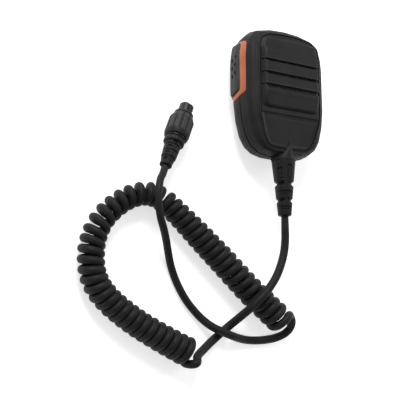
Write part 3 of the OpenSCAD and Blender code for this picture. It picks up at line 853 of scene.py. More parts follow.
@dataclass
class CaseShells:
    """Front and rear case mouldings, with the collar round the cord entry."""

    outline: tuple = ((0, -42), (12, -41.5), (20, -39.5), (25.5, -35.5), (29.5, -29), (32.4, -18), (33.8, -6),
                      (33.8, 26), (32.9, 34), (30.2, 40.4), (25.3, 45.4), (13, 48.2), (0, 49))
    half_size: tuple = (33.8, 45.5)
    middle: float = 3.5
    side: tuple = ((0.9, 0.7, 13.62), (0.5, 0.3, 13.95), (0.5, 0.3, 14.6), (2.0, 1.2, 20.4), (2.5, 1.55, 20.85),
                   (4.4, 2.9, 23.1), (5.2, 3.4, 23.5), (6.6, 4.4, 24.1), (8.0, 5.4, 24.9), (8.7, 6.0, 25.55))
    back: tuple = ((0.9, 0.7, 12.98), (0.42, 0.25, 12.66), (0.35, 0.2, 12.0), (0.0, 0.0, 8.0), (1.0, 0.8, 4.2),
                   (3.3, 3.0, 1.5), (7.0, 6.5, 0.0))
    window: tuple = ((-1.3, 3.1), (36.5, 3.1), (37.3, 6), (37.4, 14), (36.5, 17.4), (34.3, 19.3), (0.2, 19.3),
                     (-4.3, 7.4))
    screws: tuple = ((-22, 37), (22, 37), (-19, -27), (19, -27))
    count: int = 288
    edge: PanelEdge = field(default_factory=PanelEdge)

    @staticmethod
    def face(y: np.ndarray) -> np.ndarray:
        """Height of the front face: level, then sloping back 7 degrees below y = -13."""
        return 26.0 - math.tan(math.radians(7.0)) * np.maximum(0.0, -13.0 - y)

    def base(self) -> np.ndarray:
        """The case outline with softened corners, evenly spaced."""
        return evenly(softened(evenly(whole(self.outline), 1200, closed=True), 9), self.count, closed=True)

    def drawn(self, base: np.ndarray, draw_x: np.ndarray, draw_y: np.ndarray) -> np.ndarray:
        """The outline drawn in: x*(half width - draw)/half width, and y the same about the middle."""
        x = base[:, 0] * (self.half_size[0] - draw_x) / self.half_size[0]
        y = self.middle + (base[:, 1] - self.middle) * (self.half_size[1] - draw_y) / self.half_size[1]
        return np.stack(np.broadcast_arrays(x, y), axis=-1)

    def front_rows(self) -> np.ndarray:
        """Rows of the front case, out over the shoulder, in at the panel opening and back inside."""
        base = self.base()
        side = eased(self.side, 0.5, 3)
        cap = self.face(self.drawn(base, 7.0, 5.0)[:, 1])
        z = np.where(side[:, 2:] > 20.4, 20.4 + (side[:, 2:] - 20.4) * (cap - 0.45 - 20.4) / 5.15, side[:, 2:])
        draw_x = np.interp(z, side[:, 2], side[:, 0])
        draw_y = np.interp(z, side[:, 2], side[:, 1])
        outer = np.concatenate([self.drawn(base, draw_x, draw_y), z[..., None]], axis=-1)
        bearing = np.arctan2(outer[-1, :, 1] - self.middle, outer[-1, :, 0])
        lip = []
        for gap, drop in ((1.5, 0.3), (1.15, -0.1), (0.85, -0.22), (0.6, -0.12), (0.45, 0.35), (0.42, 2.6)):
            ring = self.edge.ring(bearing, self.middle, gap)
            lip.append(np.column_stack([ring, self.face(ring[:, 1]) - drop]))
        inner = []
        for draw_in, level in ((9.5, 21.2), (4.9, 18.0), (3.0, 14.2), (2.9, 13.62)):
            inner.append(np.column_stack([self.drawn(base, draw_in, draw_in * 0.9), np.full(self.count, level)]))
        return np.concatenate([outer, np.array(lip), np.array(inner)])

    def rear_rows(self) -> tuple:
        """Rows of the rear case: down the side, over the back to its middle, and the same inside."""
        base = self.base()
        side = eased(self.back, 1.6, 4)
        outer = np.concatenate([self.drawn(base, side[:, :1], side[:, 1:2]),
                                np.broadcast_to(side[:, 2:, None], (len(side), self.count, 1))], axis=-1)
        outer[..., 1] -= smooth_step(outer[..., 1], 24.0, 46.0) * 0.2 * np.maximum(0.0, 13.0 - outer[..., 2])
        last = outer[-1]
        shrink = [np.column_stack([last[:, 0] * k, self.middle + (last[:, 1] - self.middle) * k,
                                   np.zeros(self.count)]) for k in (0.96, 0.75, 0.5, 0.25, 0.08)]
        inside = [np.column_stack([self.drawn(base, d + 2.3, d + 2.1), np.full(self.count, level)])
                  for d, level in ((0.5, 12.98), (0.3, 8.0), (1.4, 5.0), (4.0, 2.6), (8.0, 2.2), (20.0, 2.2))]
        return outer, np.array(shrink), np.array(inside)

    def collar(self, skin: Skin, front: bool) -> None:
        """Adds half of the collar round the cord entry, with its beak running up into the front face.

        Args:
            skin: The piece that it belongs to.
            front: Whether it is the half on the front case.
        """
        y = np.array([-43.4, -44.1, -44.1, -43.6, *np.linspace(-42.6, -31.2, 20)])[:, None]
        wide = knots(y, ((-43, 8.4), (-41.6, 7.9), (-39, 6.1), (-37, 4.6), (-35, 2.6), (-33, 0.9), (-31.2, 0.2)))
        high = knots(y, ((-43, 8.4), (-41.6, 8.3), (-39, 8.1), (-37, 8.0), (-35, 7.9), (-33, 7.7), (-31.2, 7.0)))
        rounding = np.array([-1.6, -0.75, 0.0, 0.0, *np.zeros(20)])[:, None]
        bearing = np.linspace(0.0, TURN, 97)[:-1][None]
        away = np.minimum(bearing, TURN - bearing)
        crest = 0.3 * np.maximum(0.0, 1.0 - away / 0.8) * smooth_step(y, -43.6, -39.0)
        x = (wide + rounding) * np.sin(bearing)
        z = 15.8 + (high + rounding) * np.cos(bearing) + crest
        z = np.maximum(z, 13.62) if front else np.minimum(z, 12.98)
        shape = np.stack([x, np.broadcast_to(y, x.shape), z], axis=-1)
        skin.grid(shape, around=True)
        skin.cap(shape[0])
        skin.cap(shape[-1])

    def cutter(self) -> bpy.types.Object:
        """The talk key window's volume, to take out of a shell."""
        outline = corners(self.window, 24, 8)
        sides = np.array([np.column_stack([np.full(len(outline), x), outline]) for x in (-45.0, -29.0)])
        skin = Skin("window_cutter")
        skin.grid(sides, around=True)
        skin.cap(sides[0])
        skin.cap(sides[1])
        return skin.made(HEAD_LIFT)

    def build(self, finishes: Finishes) -> None:
        """Builds both case halves."""
        rows = self.front_rows()
        skin = Skin("front_shell")
        skin.grid(rows, around=True, along=True)
        shell = skin.made(HEAD_LIFT, 28.0)
        carve(shell, [self.cutter()], 28.0)
        nose = Skin("entry_collar_front")
        self.collar(nose, True)
        joined(shell, [nose.made(HEAD_LIFT)], 28.0)
        settle(shell, "microphone", "case_plastic", finishes["case_plastic"], "front_case")

        outer, shrink, inside = self.rear_rows()
        skin = Skin("rear_shell")
        rear = np.concatenate([shrink[::-1], outer[::-1], inside])
        skin.grid(rear, around=True)
        skin.cap(rear[0])
        skin.cap(rear[-1])
        shell = skin.made(HEAD_LIFT, 40.0)
        wells = []
        for x, y in self.screws:
            well = Skin("well_cutter")
            well.turned(Axis((x, y, -1.0), (0, 0, 1), (1, 0, 0)), np.array([[2.78, 0.0], [2.78, 6.0]]), 40)
            wells.append(well.made(HEAD_LIFT))
        carve(shell, [self.cutter(), *wells], 40.0)
        extra = Skin("rear_bosses")
        self.collar(extra, False)
        boss = eased([(2.72, 0.25), (2.72, 5.2), (1.42, 5.2), (1.42, 12.9), (3.6, 12.9), (3.6, 1.2), (3.0, 0.25)],
                     0.12, 2, closed=True)
        for x, y in self.screws:
            extra.turned(Axis((x, y, 0.0), (0, 0, 1), (1, 0, 0)), boss, 40, loop=True)
        joined(shell, [extra.made(HEAD_LIFT)], 40.0)
        settle(shell, "microphone", "case_plastic", finishes["case_plastic"], "rear_case")


def joined(piece: bpy.types.Object, others: Sequence[bpy.types.Object], sharp: float = 34.0) -> None:
    """Joins other pieces' meshes into one piece."""
    shell = bmesh.new()
    shell.from_mesh(piece.data)
    for other in others:
        shell.from_mesh(other.data)
        bpy.data.objects.remove(other)
    shell.to_mesh(piece.data)
    shell.free()
    crisp(piece.data, sharp)


@dataclass
class GrillePanel:
    """Louvred front panel: a raised plate with three grooves and slots over a sloping lower face."""

    grooves: tuple = ((22.5, 2.2), (13.6, 3.0), (4.9, 4.0))
    section: tuple = ((-0.02, 0.0), (0.06, 0.9), (0.12, 1.0), (0.4, 0.7), (0.7, 0.3), (1.02, 0.0))
    plate: tuple = ((-10.5, 0.0), (-10.2, 0.9), (-9.5, 1.75), (-8.8, 2.0), (-3, 2.85), (-0.2, 3.4), (0.8, 3.5),
                    (27.8, 3.5), (28.1, 3.45), (30.6, 2.75), (30.9, 2.7), (31.25, 2.1), (36.9, 1.85), (37.8, 1.6),
                    (40.2, 0.3), (41, 0.0))
    flank: tuple = ((20.9, 1.0), (21.5, 0.97), (22.0, 0.82), (23.5, 0.2), (23.8, 0.0))
    low: tuple = ((-36.4, 22.6), (-17.2, 24.95), (-16.7, 24.75), (-14.6, 25.2), (-13.8, 26.0), (42, 26.0))
    edge: PanelEdge = field(default_factory=PanelEdge)

    def columns(self) -> np.ndarray:
        """Places across the panel, closer at groove ends and slot ends."""
        near_end = np.array([2.8, 2.92, 3.0, 3.12])
        ends = np.concatenate([8.0 * i + s * near_end for i in range(-2, 3) for s in (-1, 1)])
        sides = np.array([20.2, 20.9, 21.1, 21.25, 21.4, 21.6, 22.0, 22.6, 23.2, 23.5, 23.8, 24.0])
        plain = np.linspace(-20.0, 20.0, 41)
        return np.unique(np.round(np.concatenate([plain, ends, sides, -sides, [-24.2, 24.2]]), 3)) / 24.2

    def rows(self) -> np.ndarray:
        """Heights up the panel, closer at every edge of the plate and grooves."""
        parts = [np.linspace(-36.4, 42.0, 106), np.array([p[0] for p in self.plate]),
                 np.array([-36.2, -35.9, -35.4, -34.9, -17.4, -16.4, -15.0, -13.8, -13.3, -10.0, -9.0, 41.4, 41.8])]
        for upper, height in self.grooves:
            parts.append(upper - height * np.array([q for q, _ in self.section]))
            parts.append(upper - height / 2 + np.array([-0.62, -0.55, 0.55, 0.62]))
            parts.append(upper - height * np.linspace(0.1, 0.98, 10))
        return np.unique(np.round(np.concatenate(parts), 3))

    def surface(self) -> tuple:
        """Works the panel's front out as a height over rows and columns.

        Returns:
            Points, rub values that paint highlights on the plate's side ends and along the edge above each groove,
            and pocket values that darken the slots as painted shade. The height is the lower face, plus the plate's
            rise times its flank, less each groove's section, less the slots; grooves run out as shallow channels over
            the flanks.
        """
        y, s = self.rows()[:, None], self.columns()[None]
        width = self.edge.half_width(y)
        x = s * width
        size = np.abs(x)
        inset = width - size
        border = knots(np.minimum(inset, y + 36.4 + 0.35), ((0.25, 1.0), (0.7, 0.95), (2.3, 0.0)))
        rim = CaseShells.face(y) - 0.12
        ground = knots(y, self.low)
        ground = ground + (rim - ground) * border * smooth_step(y, -13.2, -15.5)
        ground = ground - 0.55 * smooth_step(inset, 0.3, 0.0)
        shift = knots(y, ((-10.5, 3.2), (-9.6, 2.1), (-8.2, 1.0), (-5, 0.2), (-3, 0.0), (31, 0.0), (41, 2.2)))
        flank = knots(size + shift, self.flank)
        surface = ground + knots(y, self.plate) * flank
        inner = smooth_step(size, 21.35, 21.15)
        pocket = np.zeros_like(surface)
        # Painted highlight: the raised plate's side ends are lightened.
        rub = smooth_step(flank * knots(y, self.plate), 2.6, 3.4) * 0.25 * (1 - smooth_step(size, 21.4, 20.6))
        for upper, height in self.grooves:
            cut = knots((upper - y) / height, self.section)
            deep = (surface - 27.9) * cut
            shallow = np.minimum(1.15, np.maximum(surface - 25.9, 0.0))
            shallow = shallow * (cut > 0.3) * smooth_step(size, 23.9, 23.5)
            slots = np.zeros_like(surface)
            for i in range(-2, 3):
                slots = slots + smooth_step(np.abs(x - 8.0 * i), 3.1, 2.95)
            slots = slots * smooth_step(np.abs(y - upper + height / 2), 0.63, 0.54)
            # Painted shade: the slots are darkened.
            pocket = np.maximum(pocket, 0.2 * slots * inner)
            groove = np.where(inner > 0.0, deep * inner + shallow * (1 - inner), shallow)
            surface = surface - groove - 0.35 * slots * inner
            # Painted highlight: a light line along the edge just above each groove.
            groove_edge_highlight = np.exp(-((((y - upper) - 0.25) / 0.3) ** 2))
            rub = np.maximum(rub, groove_edge_highlight * 0.5 * flank)
        bent = self.edge.bent(x, np.broadcast_to(y, x.shape))
        return np.stack([x, bent, surface], axis=-1), rub, pocket

    def build(self, finishes: Finishes) -> None:
        """Builds the closed panel with its back and sides."""
        front, rub, pocket = self.surface()
        skin = Skin("louvre_panel")
        skin.grid(front, rub=rub, pocket=pocket)
        border = np.concatenate([front[0], front[1:, -1], front[-1, -2::-1], front[-2:0:-1, 0]])
        back = border.copy()
        back[:, 2] = 21.0
        skin.grid(np.stack([border, back]), around=True)
        skin.cap(back)
        settle(skin.made(HEAD_LIFT, 30.0), "microphone", "grille_plastic", finishes["grille_plastic"],
               "grille_panel")


@dataclass
class TalkKey:
    """Side talk key with six dimples, in a coloured trim frame."""

    key_side: tuple = ((-0.4, 4.2), (35.2, 4.2), (36, 6), (36, 11.2), (34.9, 12.9), (33, 13.6), (2.5, 13.6),
                       (0.7, 8.6))
    trim_outer: tuple = ((-1.4, 3), (36.6, 3), (37.4, 6), (37.5, 14), (36.6, 17.5), (34.4, 19.4), (0.2, 19.4),
                         (-4.4, 7.4))
    dimples: tuple = ((26.2, 11), (20.4, 11), (14.6, 11), (24.2, 7.6), (18.4, 7.6), (12.6, 7.6))
    key_across: tuple = ((3, 34.7), (4.2, 35.1), (5.4, 35.4), (10.6, 35.4), (11.9, 35.1), (14.4, 34.2))
    key_along: tuple = ((-3.2, 0.9), (-1, 0.25), (2, 0.06), (6, 0), (21, 0), (25, 0.25), (29, 0.8), (33, 1.5),
                        (35.6, 2.0), (36.4, 2.3))
    trim_across: tuple = ((2, 33.1), (5, 33.7), (8, 34.1), (11, 34.1), (14, 33.9), (17, 33.2), (20, 32.3))
    trim_along: tuple = ((-7, 0), (26, 0), (30, 0.4), (33, 1.0), (35.5, 1.9), (38.2, 3.0))

    def key_face(self, y: np.ndarray, z: np.ndarray) -> np.ndarray:
        """Distance of the key's face from the middle of the case, with its dimples taken in."""
        out = knots(z, self.key_across) - knots(y, self.key_along)
        for at_y, at_z in self.dimples:
            away = np.hypot((y - at_y) / 1.15, (z - at_z) / 0.9)
            out = out - 0.8 * smooth_step(away, 1.35, 0.75)
        return out

    def key(self) -> bpy.types.Object:
        """Builds the key: its face from the middle out, its rounded rim, sides and back, boss and knuckle."""
        ring = corners(self.key_side, 56, 9)
        middle = np.array([17.0, 9.3])
        skin = Skin("talk_key")
        face, mask, dimple_shade = [], [], []
        for k in (0.02, *np.linspace(0.06, 0.9, 44), 0.925, 0.945, 0.962, 0.978, 0.99, 1.0):
            flat = middle + (ring - middle) * k
            edge = (1.0 - k) * np.hypot(*(ring - middle).T)
            drop = 0.55 * (1.0 - np.sqrt(1.0 - np.clip(1.0 - edge / 0.8, 0.0, 1.0) ** 2))
            x = -(self.key_face(flat[:, 0], flat[:, 1]) - drop)
            face.append(np.column_stack([x, flat]))
            mask.append(np.clip(1.0 - np.abs(edge - 0.3) / 0.5, 0.0, 1.0) * 0.7)
            # Painted shade: the dimples are darkened in colour.
            near = [smooth_step(np.hypot((flat[:, 0] - a) / 1.15, (flat[:, 1] - b) / 0.9), 1.25, 0.7)
                    for a, b in self.dimples]
            dimple_shade.append(np.max(near, axis=0) * 0.85)
        rim = face[-1].copy()
        rim[:, 0] = -31.6
        shape = np.array([*face, rim])
        zero = np.zeros(len(ring))
        skin.grid(shape, around=True, rub=np.array([*mask, zero]), pocket=np.array([*dimple_shade, zero]))
        skin.cap(shape[0])
        skin.cap(rim)
        post = eased([(0.5, 0), (1.6, 0), (1.6, 5.2), (0.5, 5.25)], 0.2)
        skin.turned(Axis((-33.5, 22.0, 10.3), (1, 0, 0), (0, 0, 1)), post, 32)
        skin.turned(Axis((-31.0, 4.5, 4.9), (0, 0, 1), (1, 0, 0)),
                    eased([(1.06, 0), (2.0, 0), (2.0, 8.8), (1.06, 8.8)], 0.2, closed=True), 32, loop=True)
        return skin.made(HEAD_LIFT, 50.0)

    def trim(self) -> bpy.types.Object:
        """Builds the trim: a ring between the key's gap and the window, swept through its section."""
        gap = [(16.6 + (y - 16.6) * 1.03, 9.2 + (z - 9.2) * 1.1) for y, z in self.key_side]
        inner, outer = corners(gap, 40, 7), corners(self.trim_outer, 40, 7)
        rows, rub = [], []
        for t, drop, floor in ((0, None, -29.8), (0, 0.9, None), (0.015, 0.35, None), (0.05, 0.08, None),
                               (0.12, 0, None),
                               (0.4, -0.06, None), (0.7, -0.03, None), (0.86, 0, None), (0.95, 0.12, None),
                               (0.99, 0.4, None), (1.0, 0.8, None), (1.0, None, -29.8)):
            flat = inner * (1 - t) + outer * t
            if floor is None:
                x = -(knots(flat[:, 1], self.trim_across) - knots(flat[:, 0], self.trim_along) - drop)
            else:
                x = np.full(len(flat), floor)
            rows.append(np.column_stack([x, flat]))
            # Both rounded edges of the trim are mixed toward a paler orange.
            rub.append(np.full(len(flat), 0.8 if 0.01 < t < 0.06 or 0.9 < t < 0.995 else 0.0))
        skin = Skin("key_trim")
        skin.grid(np.array(rows), around=True, along=True, rub=np.array(rub))
        return skin.made(HEAD_LIFT, 60.0)

    def spring(self) -> bpy.types.Object:
        """Builds the return spring as four turns of wire between the seal and the key."""
        turn = np.linspace(0.0, 4.0, 97)
        path = np.column_stack([-29.85 - 2.05 * turn / 4.0, 30.0 + 1.7 * np.cos(turn * TURN),
                                10.3 + 1.7 * np.sin(turn * TURN)])
        skin = Skin("key_spring")
        skin.swept(path, np.full(97, 0.24), 10)
        return skin.made(HEAD_LIFT, 60.0)

    def build(self, finishes: Finishes) -> None:
        """Builds the key on its own body and the trim on the case."""
        settle(self.key(), "talk_key", "key_plastic", finishes["key_plastic"], "ptt_key")
        settle(self.trim(), "microphone", "trim_plastic", finishes["trim_plastic"], "ptt_trim")
        spring = settle(self.spring(), "microphone", "screw_steel", finishes["screw_steel"], "ptt_spring")
        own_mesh(spring)


@dataclass
class HangButton:
    """Button on the back that drops into a hang-up clip."""

    profile: tuple = ((3.3, 0.0), (7.0, 0.0), (7.5, 0.45), (7.5, 1.25), (7.15, 1.6), (4.95, 1.6), (4.75, 1.85),
                      (4.75, 3.7), (5.3, 4.3), (5.3, 4.7), (1.3, 4.7), (1.3, 2.2), (3.3, 2.2))

    def build(self, finishes: Finishes) -> None:
        """Turns the button as one closed ring round its screw."""
        skin = Skin("hang_stud")
        skin.turned(Axis((0, 0, 0), (0, 0, 1), (1, 0, 0)), eased(self.profile, 0.22, 3, closed=True), 96, loop=True)
        settle(skin.made(0.0, 40.0), "microphone", "button_plastic", finishes["button_plastic"], "hang_button")


# ---------- strain relief ----------


@dataclass
class StrainRelief:
    """Rubber relief in three tapering lengths with notches, slots and window pads."""

    profile: tuple = ((2.4, 0.0), (4.1, 0.0), (4.6, 0.5), (5.35, 8.6), (4.4, 9.9), (4.4, 10.6), (5.65, 11.7),
                      (6.35, 20.0), (4.9, 21.4), (4.9, 22.1), (6.75, 23.7), (8.1, 36.8), (8.1, 37.95), (6.6, 37.99))
    axis: Axis = Axis((0, -82, 15.8), (0, 1, 0), (-0.50, 0, 0.866))
    webs: tuple = ((10.2, 20.0), (21.7, 25.0))
    slots: tuple = ((16.2, -38.0, 48.0, 0.7), (14.2, -30.0, 14.0, 0.3), (5.6, -34.0, 44.0, 0.6),
                    (3.8, -30.0, 38.0, 0.3))
    lines: tuple = ((24.9, -38.0, 42.0),)

    @staticmethod
    def between(bearing: np.ndarray, low: float, high: float, soft: float = 5.0) -> np.ndarray:
        """1 between two bearings in degrees, fading over a few degrees."""
        return smooth_step(bearing, low - soft, low) * smooth_step(bearing, high + soft, high)

    def surface(self) -> tuple:
        """The relief as a radius over distance and bearing.

        Returns:
            Points, and pocket values that darken the notches, slots, window frames and lines as painted shade. The
            radius follows the profile; webs fill the notches on the front and back, slots sink a flat-bottomed
            channel, and window pads stand in a sunk frame.
        """
        line = eased(self.profile, 0.45, 3)
        rims = [w + np.array([-0.75, -0.6, 0.6, 0.75]) for w, *_ in self.slots]
        extra = np.concatenate([np.linspace(0.6, 37.9, 150), *rims])
        body = (line[:, 1] > 0.02) & (line[:, 1] < 37.96)
        w = np.unique(np.round(np.concatenate([line[body, 1], extra]), 3))
        radius = np.interp(w, line[body, 1], line[body, 0])
        degrees = np.linspace(-180.0, 180.0, 241)[:-1]
        w, b = w[:, None], degrees[None]
        r = np.broadcast_to(radius[:, None], (len(radius), 240)).copy()
        # Painted shade: every recess below darkens the colour.
        pocket = np.zeros_like(r)
        full = knots(w, ((0, 4.6), (8.6, 5.3), (11.8, 5.6), (20, 6.3), (23.8, 6.75), (36.8, 8.1), (38, 8.1)))
        for at, wide in self.webs:
            near = smooth_step(np.abs(w - at), 2.4, 1.9)
            web = self.between(b, -2.0, wide) + self.between(np.abs(b), 150.0, 185.0)
            r = r + (full - 0.25 - r) * np.clip(web, 0, 1) * near * (full > r)
            cut = smooth_step(np.abs(w - at), 1.0, 0.75) * self.between(b, -46.0, -10.0, 4.0)
            r, pocket = r - 0.7 * cut, np.maximum(pocket, 0.4 * cut)
        for at, low, high, deep in self.slots:
            cut = smooth_step(np.abs(w - at), 0.72, 0.58) * self.between(b, low, high)
            behind = -np.sign(b) * (180 - np.abs(b))
            cut = cut + smooth_step(np.abs(w - at), 0.72, 0.58) * self.between(behind, low, high)
            r, pocket = r - deep * cut, np.maximum(pocket, 0.7 * cut * min(deep, 1.0))
        for middle, half, low, high in ((28.0, 12.0, 25.6, 34.6), (-27.0, 12.0, 25.0, 32.2)):
            edge = np.maximum(np.abs(b - middle) / half * 1.9,
                              (np.abs(w - (low + high) / 2) - (high - low) / 2) + 1.9)
            frame = smooth_step(edge, 1.25, 1.45) * smooth_step(edge, 1.95, 1.75)
            head = smooth_step(w, high - 1.7, high - 1.3) * smooth_step(w, high + 0.05, high - 0.2)
            head = head * smooth_step(edge, 1.95, 1.8)
            r = r - 0.35 * frame - 0.5 * head
            pocket = np.maximum(pocket, np.maximum(0.35 * frame, 0.5 * head))
        for at, low, high in self.lines:
            cut = smooth_step(np.abs(w - at + 1.2 * smooth_step(b, -20.0, -36.0)), 0.4, 0.15)
            cut = cut * self.between(b, low, high)
            r, pocket = r - 0.3 * cut, np.maximum(pocket, 0.4 * cut)
        return self.axis.place(r, np.radians(b), w), pocket

    def build(self, finishes: Finishes) -> bpy.types.Object:
        """Builds the closed relief, its neck and flange inside the case."""
        shape, pocket = self.surface()
        bearing = np.radians(np.linspace(-180.0, 180.0, 241)[:-1])
        front = self.axis.place(np.array([[2.0], [4.0]]), bearing[None], np.array([[0.25], [0.0]]))
        neck = self.axis.place(np.array([[6.6], [6.6], [7.7], [7.7]]), bearing[None],
                               np.array([[38.0], [42.4], [42.4], [44.6]]))
        rows = np.concatenate([front, shape, neck])
        # Painted shade in the recesses; none on the front ring and the neck.
        depth = np.concatenate([np.zeros((2, 240)), pocket, np.zeros((4, 240))])
        skin = Skin("cord_relief")
        skin.grid(rows, around=True, pocket=depth)
        skin.cap(rows[0])
        skin.cap(rows[-1])
        return settle(skin.made(HEAD_LIFT, 42.0), "microphone", "relief_rubber", finishes["relief_rubber"],
                      "strain_relief")


# ---------- plug ----------


@dataclass
class Plug:
    """Round multi-pin plug: ribbed boot, back nut, shell with keyed nose, coupling ring and seal."""

    axis: Axis = Axis((-88.1, -55.8, 14.6), (0.411519, 0.894706, -0.173648), (-0.35, 0.1, 0.93))
    flutes: int = 11
    ring_profile: tuple = ((5.56, 22.6), (7.4, 22.6), (7.8, 23.1), (8.4, 25.2), (8.4, 36.9), (8.1, 37.6),
                           (6.6, 40.9), (5.56, 40.9))
    boot_profile: tuple = ((2.0, 0.3), (3.7, 0.0), (4.1, 0.4), (4.1, 1.2), (3.8, 1.8), (4.45, 5.0), (4.0, 5.5),
                           (4.0, 5.8), (4.85, 6.2), (5.1, 9.6), (4.5, 10.1), (4.5, 10.4), (5.2, 10.8), (5.35, 14.2),
                           (4.8, 14.7), (4.8, 15.0), (5.4, 15.4), (5.6, 17.6), (5.6, 21.3), (2.4, 21.35))
    shell_profile: tuple = ((2.45, 21.6), (6.8, 21.6), (6.8, 22.4), (5.5, 22.45), (5.5, 41.1), (4.1, 41.1),
                            (4.1, 43.2), (4.8, 43.2), (4.8, 49.6), (4.4, 50.1), (3.6, 50.1), (3.6, 37.1),
                            (2.45, 35.1))
    boot_slots: tuple = ((3.6, -24.0, 22.0), (8.1, -20.0, 20.0), (12.7, -14.0, 20.0), (16.6, 8.0, 18.0))

    def boot(self) -> bpy.types.Object:
        """The boot: the profile's radius less a small rounded dip on each length, front and back, each dip darkened
        in colour as painted shade.
        """
        line = eased(self.boot_profile, 0.28, 3)
        inner = (line[:, 1] > 0.31) & (line[:, 0] > 2.5)
        w = np.unique(np.round(np.concatenate([line[inner, 1], np.linspace(0.5, 21.2, 110)]), 3))
        radius = np.interp(w, line[inner, 1], line[inner, 0])
        degrees = np.linspace(-180.0, 180.0, 145)[:-1]
        r = np.broadcast_to(radius[:, None], (len(w), 144)).copy()
        pocket = np.zeros_like(r)
        for at, middle, half in self.boot_slots:
            for turn in (0.0, 180.0):
                away = (degrees - middle - turn + 180.0) % 360.0 - 180.0
                cut = smooth_step(np.hypot(away[None] / half, (w[:, None] - at) / 0.85), 1.1, 0.7)
                # Painted shade: each dip is darkened.
                r, pocket = r - 0.85 * cut, np.maximum(pocket, 0.8 * cut)
        shape = self.axis.place(r, np.radians(degrees)[None], w[:, None])
        start = self.axis.place(np.array([[2.0], [3.7]]), np.radians(degrees)[None], np.array([[0.3], [0.0]]))
        rows = np.concatenate([start, shape])
        skin = Skin("plug_boot_sleeve")
        skin.grid(rows, around=True, pocket=np.concatenate([np.zeros((2, 144)), pocket]))
        skin.cap(rows[0])
        skin.cap(rows[-1])
        return skin.made(0.0, 42.0)

    def coupling(self) -> bpy.types.Object:
        """The coupling ring: flutes sunk as 0.6*(0.2 + max(cos, -0.2))^1.3 from front chamfer to rear band."""
        line = eased(self.ring_profile, 0.3, 3, closed=True)
        count = self.flutes * 16
        bearing = np.arange(count) * TURN / count
        wave = np.maximum(np.cos(bearing * self.flutes), -0.2) + 0.2
        start = int(np.argmax(line[:, 1] > 25.35))
        stop = int(np.argmax((line[:, 1] > 36.7) & (line[:, 0] > 7.0)))
        body = np.column_stack([np.full(40, 8.4), np.linspace(25.5, 36.6, 40)])
        line = np.concatenate([line[:start], body, line[stop:]])
        fade = smooth_step(line[:, 1], 25.6, 27.4) * smooth_step(line[:, 1], 40.7, 39.7)
        fade = fade * smooth_step(line[:, 0], 6.5, 6.8)
        radius = line[:, :1] - 0.6 * fade[:, None] * wave[None] ** 1.3
        rub = (1.0 - wave[None] / 1.2) * fade[:, None] * 0.45 * np.ones_like(radius)
        skin = Skin("fluted_ring")
        skin.grid(self.axis.place(radius, bearing[None], line[:, 1:]), around=True, along=True, rub=rub)
        return skin.made(0.0, 48.0)

    def shell(self) -> bpy.types.Object:
        """The shell: a turned tube whose nose has a sunk key flat."""
        line = eased(self.shell_profile, 0.16, 2, closed=True)
        nose = np.linspace(43.6, 49.4, 14)
        cut = int(np.argmax(line[:, 1] > 49.4))
        line = np.concatenate([line[:cut], np.column_stack([np.full(14, 4.8), nose]), line[cut:]])
        line = line[np.concatenate([[True], np.linalg.norm(np.diff(line, axis=0), axis=1) > 1e-4])]
        bearing = np.arange(120) * TURN / 120
        away = np.degrees((bearing - 0.35 + math.pi) % TURN - math.pi)
        flat = smooth_step(np.abs(away), 17.0, 13.0)[None] * smooth_step(line[:, 1:], 44.4, 45.0)
        outside = (line[:, :1] > 3.9)
        radius = line[:, :1] - 0.45 * flat * outside
        skin = Skin("plug_body")
        skin.grid(self.axis.place(radius, bearing[None], line[:, 1:]), around=True, along=True)
        return skin.made(0.0, 40.0)

    def back_nut(self) -> bpy.types.Object:
        """The back nut: a ring with twelve shallow grip notches."""
        line = eased([(5.65, 17.6), (6.4, 17.6), (6.9, 18.1), (6.9, 20.6), (6.5, 21.2), (5.65, 21.2)],
                     0.2, 3, closed=True)
        bearing = np.arange(144) * TURN / 144
        notch = smooth_step(np.cos(bearing * 12), 0.72, 0.9)[None] * smooth_step(line[:, :1], 6.5, 6.8)
        skin = Skin("grip_nut")
        rows = self.axis.place(line[:, :1] - 0.22 * notch, bearing[None], line[:, 1:])
        skin.grid(rows, around=True, along=True)
        return skin.made(0.0, 42.0)

    def seal(self) -> bpy.types.Object:
        """The seal ring in its groove behind the nose."""
        line = eased([(4.12, 41.3), (6.3, 41.3), (6.5, 41.6), (6.5, 42.5), (6.3, 42.8), (4.12, 42.8)],
                     0.25, 4, closed=True)
        skin = Skin("seal_ring")
        skin.turned(self.axis, line, 96, loop=True)
        return skin.made(0.0, 60.0)

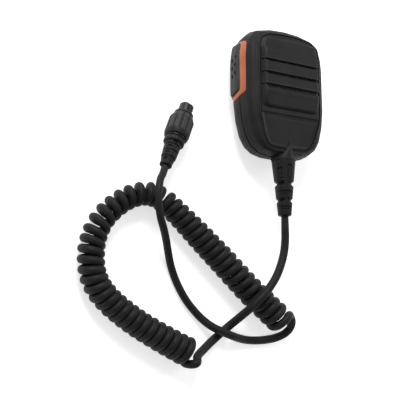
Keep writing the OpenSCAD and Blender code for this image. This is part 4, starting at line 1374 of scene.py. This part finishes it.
    def build(self, finishes: Finishes) -> list:
        """Builds the plug's pieces and gives those on the cord."""
        boot = settle(self.boot(), "microphone", "relief_rubber", finishes["relief_rubber"], "plug_boot")
        nut = settle(self.back_nut(), "microphone", "ring_plastic", finishes["ring_plastic"], "plug_back_nut")
        ring = settle(self.coupling(), "plug_ring", "ring_plastic", finishes["ring_plastic"], "coupling_ring")
        body = settle(self.shell(), "microphone", "shell_metal", finishes["shell_metal"], "plug_shell")
        seal = settle(self.seal(), "microphone", "seal_rubber", finishes["seal_rubber"], "plug_seal")
        return [boot, nut, ring, body, seal, "plug_insert", "plug_pins"]


@dataclass
class InnerParts:
    """Parts whose shape the frame already holds: they keep it and take their finish."""

    finish_of: tuple = (
        ("case_gasket", "seal_rubber"), ("case_screws", "screw_steel"), ("dust_mesh", "mesh_cloth"),
        ("mic_capsule", "capsule_metal"), ("mic_boot", "seal_rubber"), ("circuit_board", "board_laminate"),
        ("board_components", "component_plastic"), ("board_screws", "screw_steel"),
        ("switch_body", "component_plastic"), ("switch_plunger", "pale_plastic"), ("ptt_seal", "seal_rubber"),
        ("ptt_pivot_pin", "screw_steel"), ("hang_button_screw", "screw_steel"),
        ("cable_header", "pale_plastic"), ("wire_set", "wire_plastic"), ("cable_end", "cord_jacket"),
        ("cable_clamp", "screw_steel"), ("clamp_screws", "screw_steel"), ("plug_insert", "insert_plastic"),
        ("plug_pins", "contact_gold"),
    )

    def build(self, nodes: dict, finishes: Finishes) -> None:
        """Puts each node's finish on every one of its material slots."""
        for name, finish in self.finish_of:
            node = nodes[name]
            if not node.material_slots:
                node.data.materials.append(finishes[finish])
            for slot in node.material_slots:
                slot.material = finishes[finish]
            LOG.info("%s keeps its shape in %s", name, finish)


def main() -> None:
    """Builds the microphone round its frame, in order."""
    logging.basicConfig(level=logging.INFO, format="%(name)s %(message)s")
    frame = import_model()
    finishes = Finishes()
    Studio().build()
    lead = CurlyCord()
    cord = lead.build(finishes)
    CaseShells().build(finishes)
    GrillePanel().build(finishes)
    TalkKey().build(finishes)
    HangButton().build(finishes)
    relief = StrainRelief().build(finishes)
    on_cord = Plug().build(finishes)
    InnerParts().build(frame["nodes"], finishes)
    lead.declare()


if __name__ == "__main__":
    main()
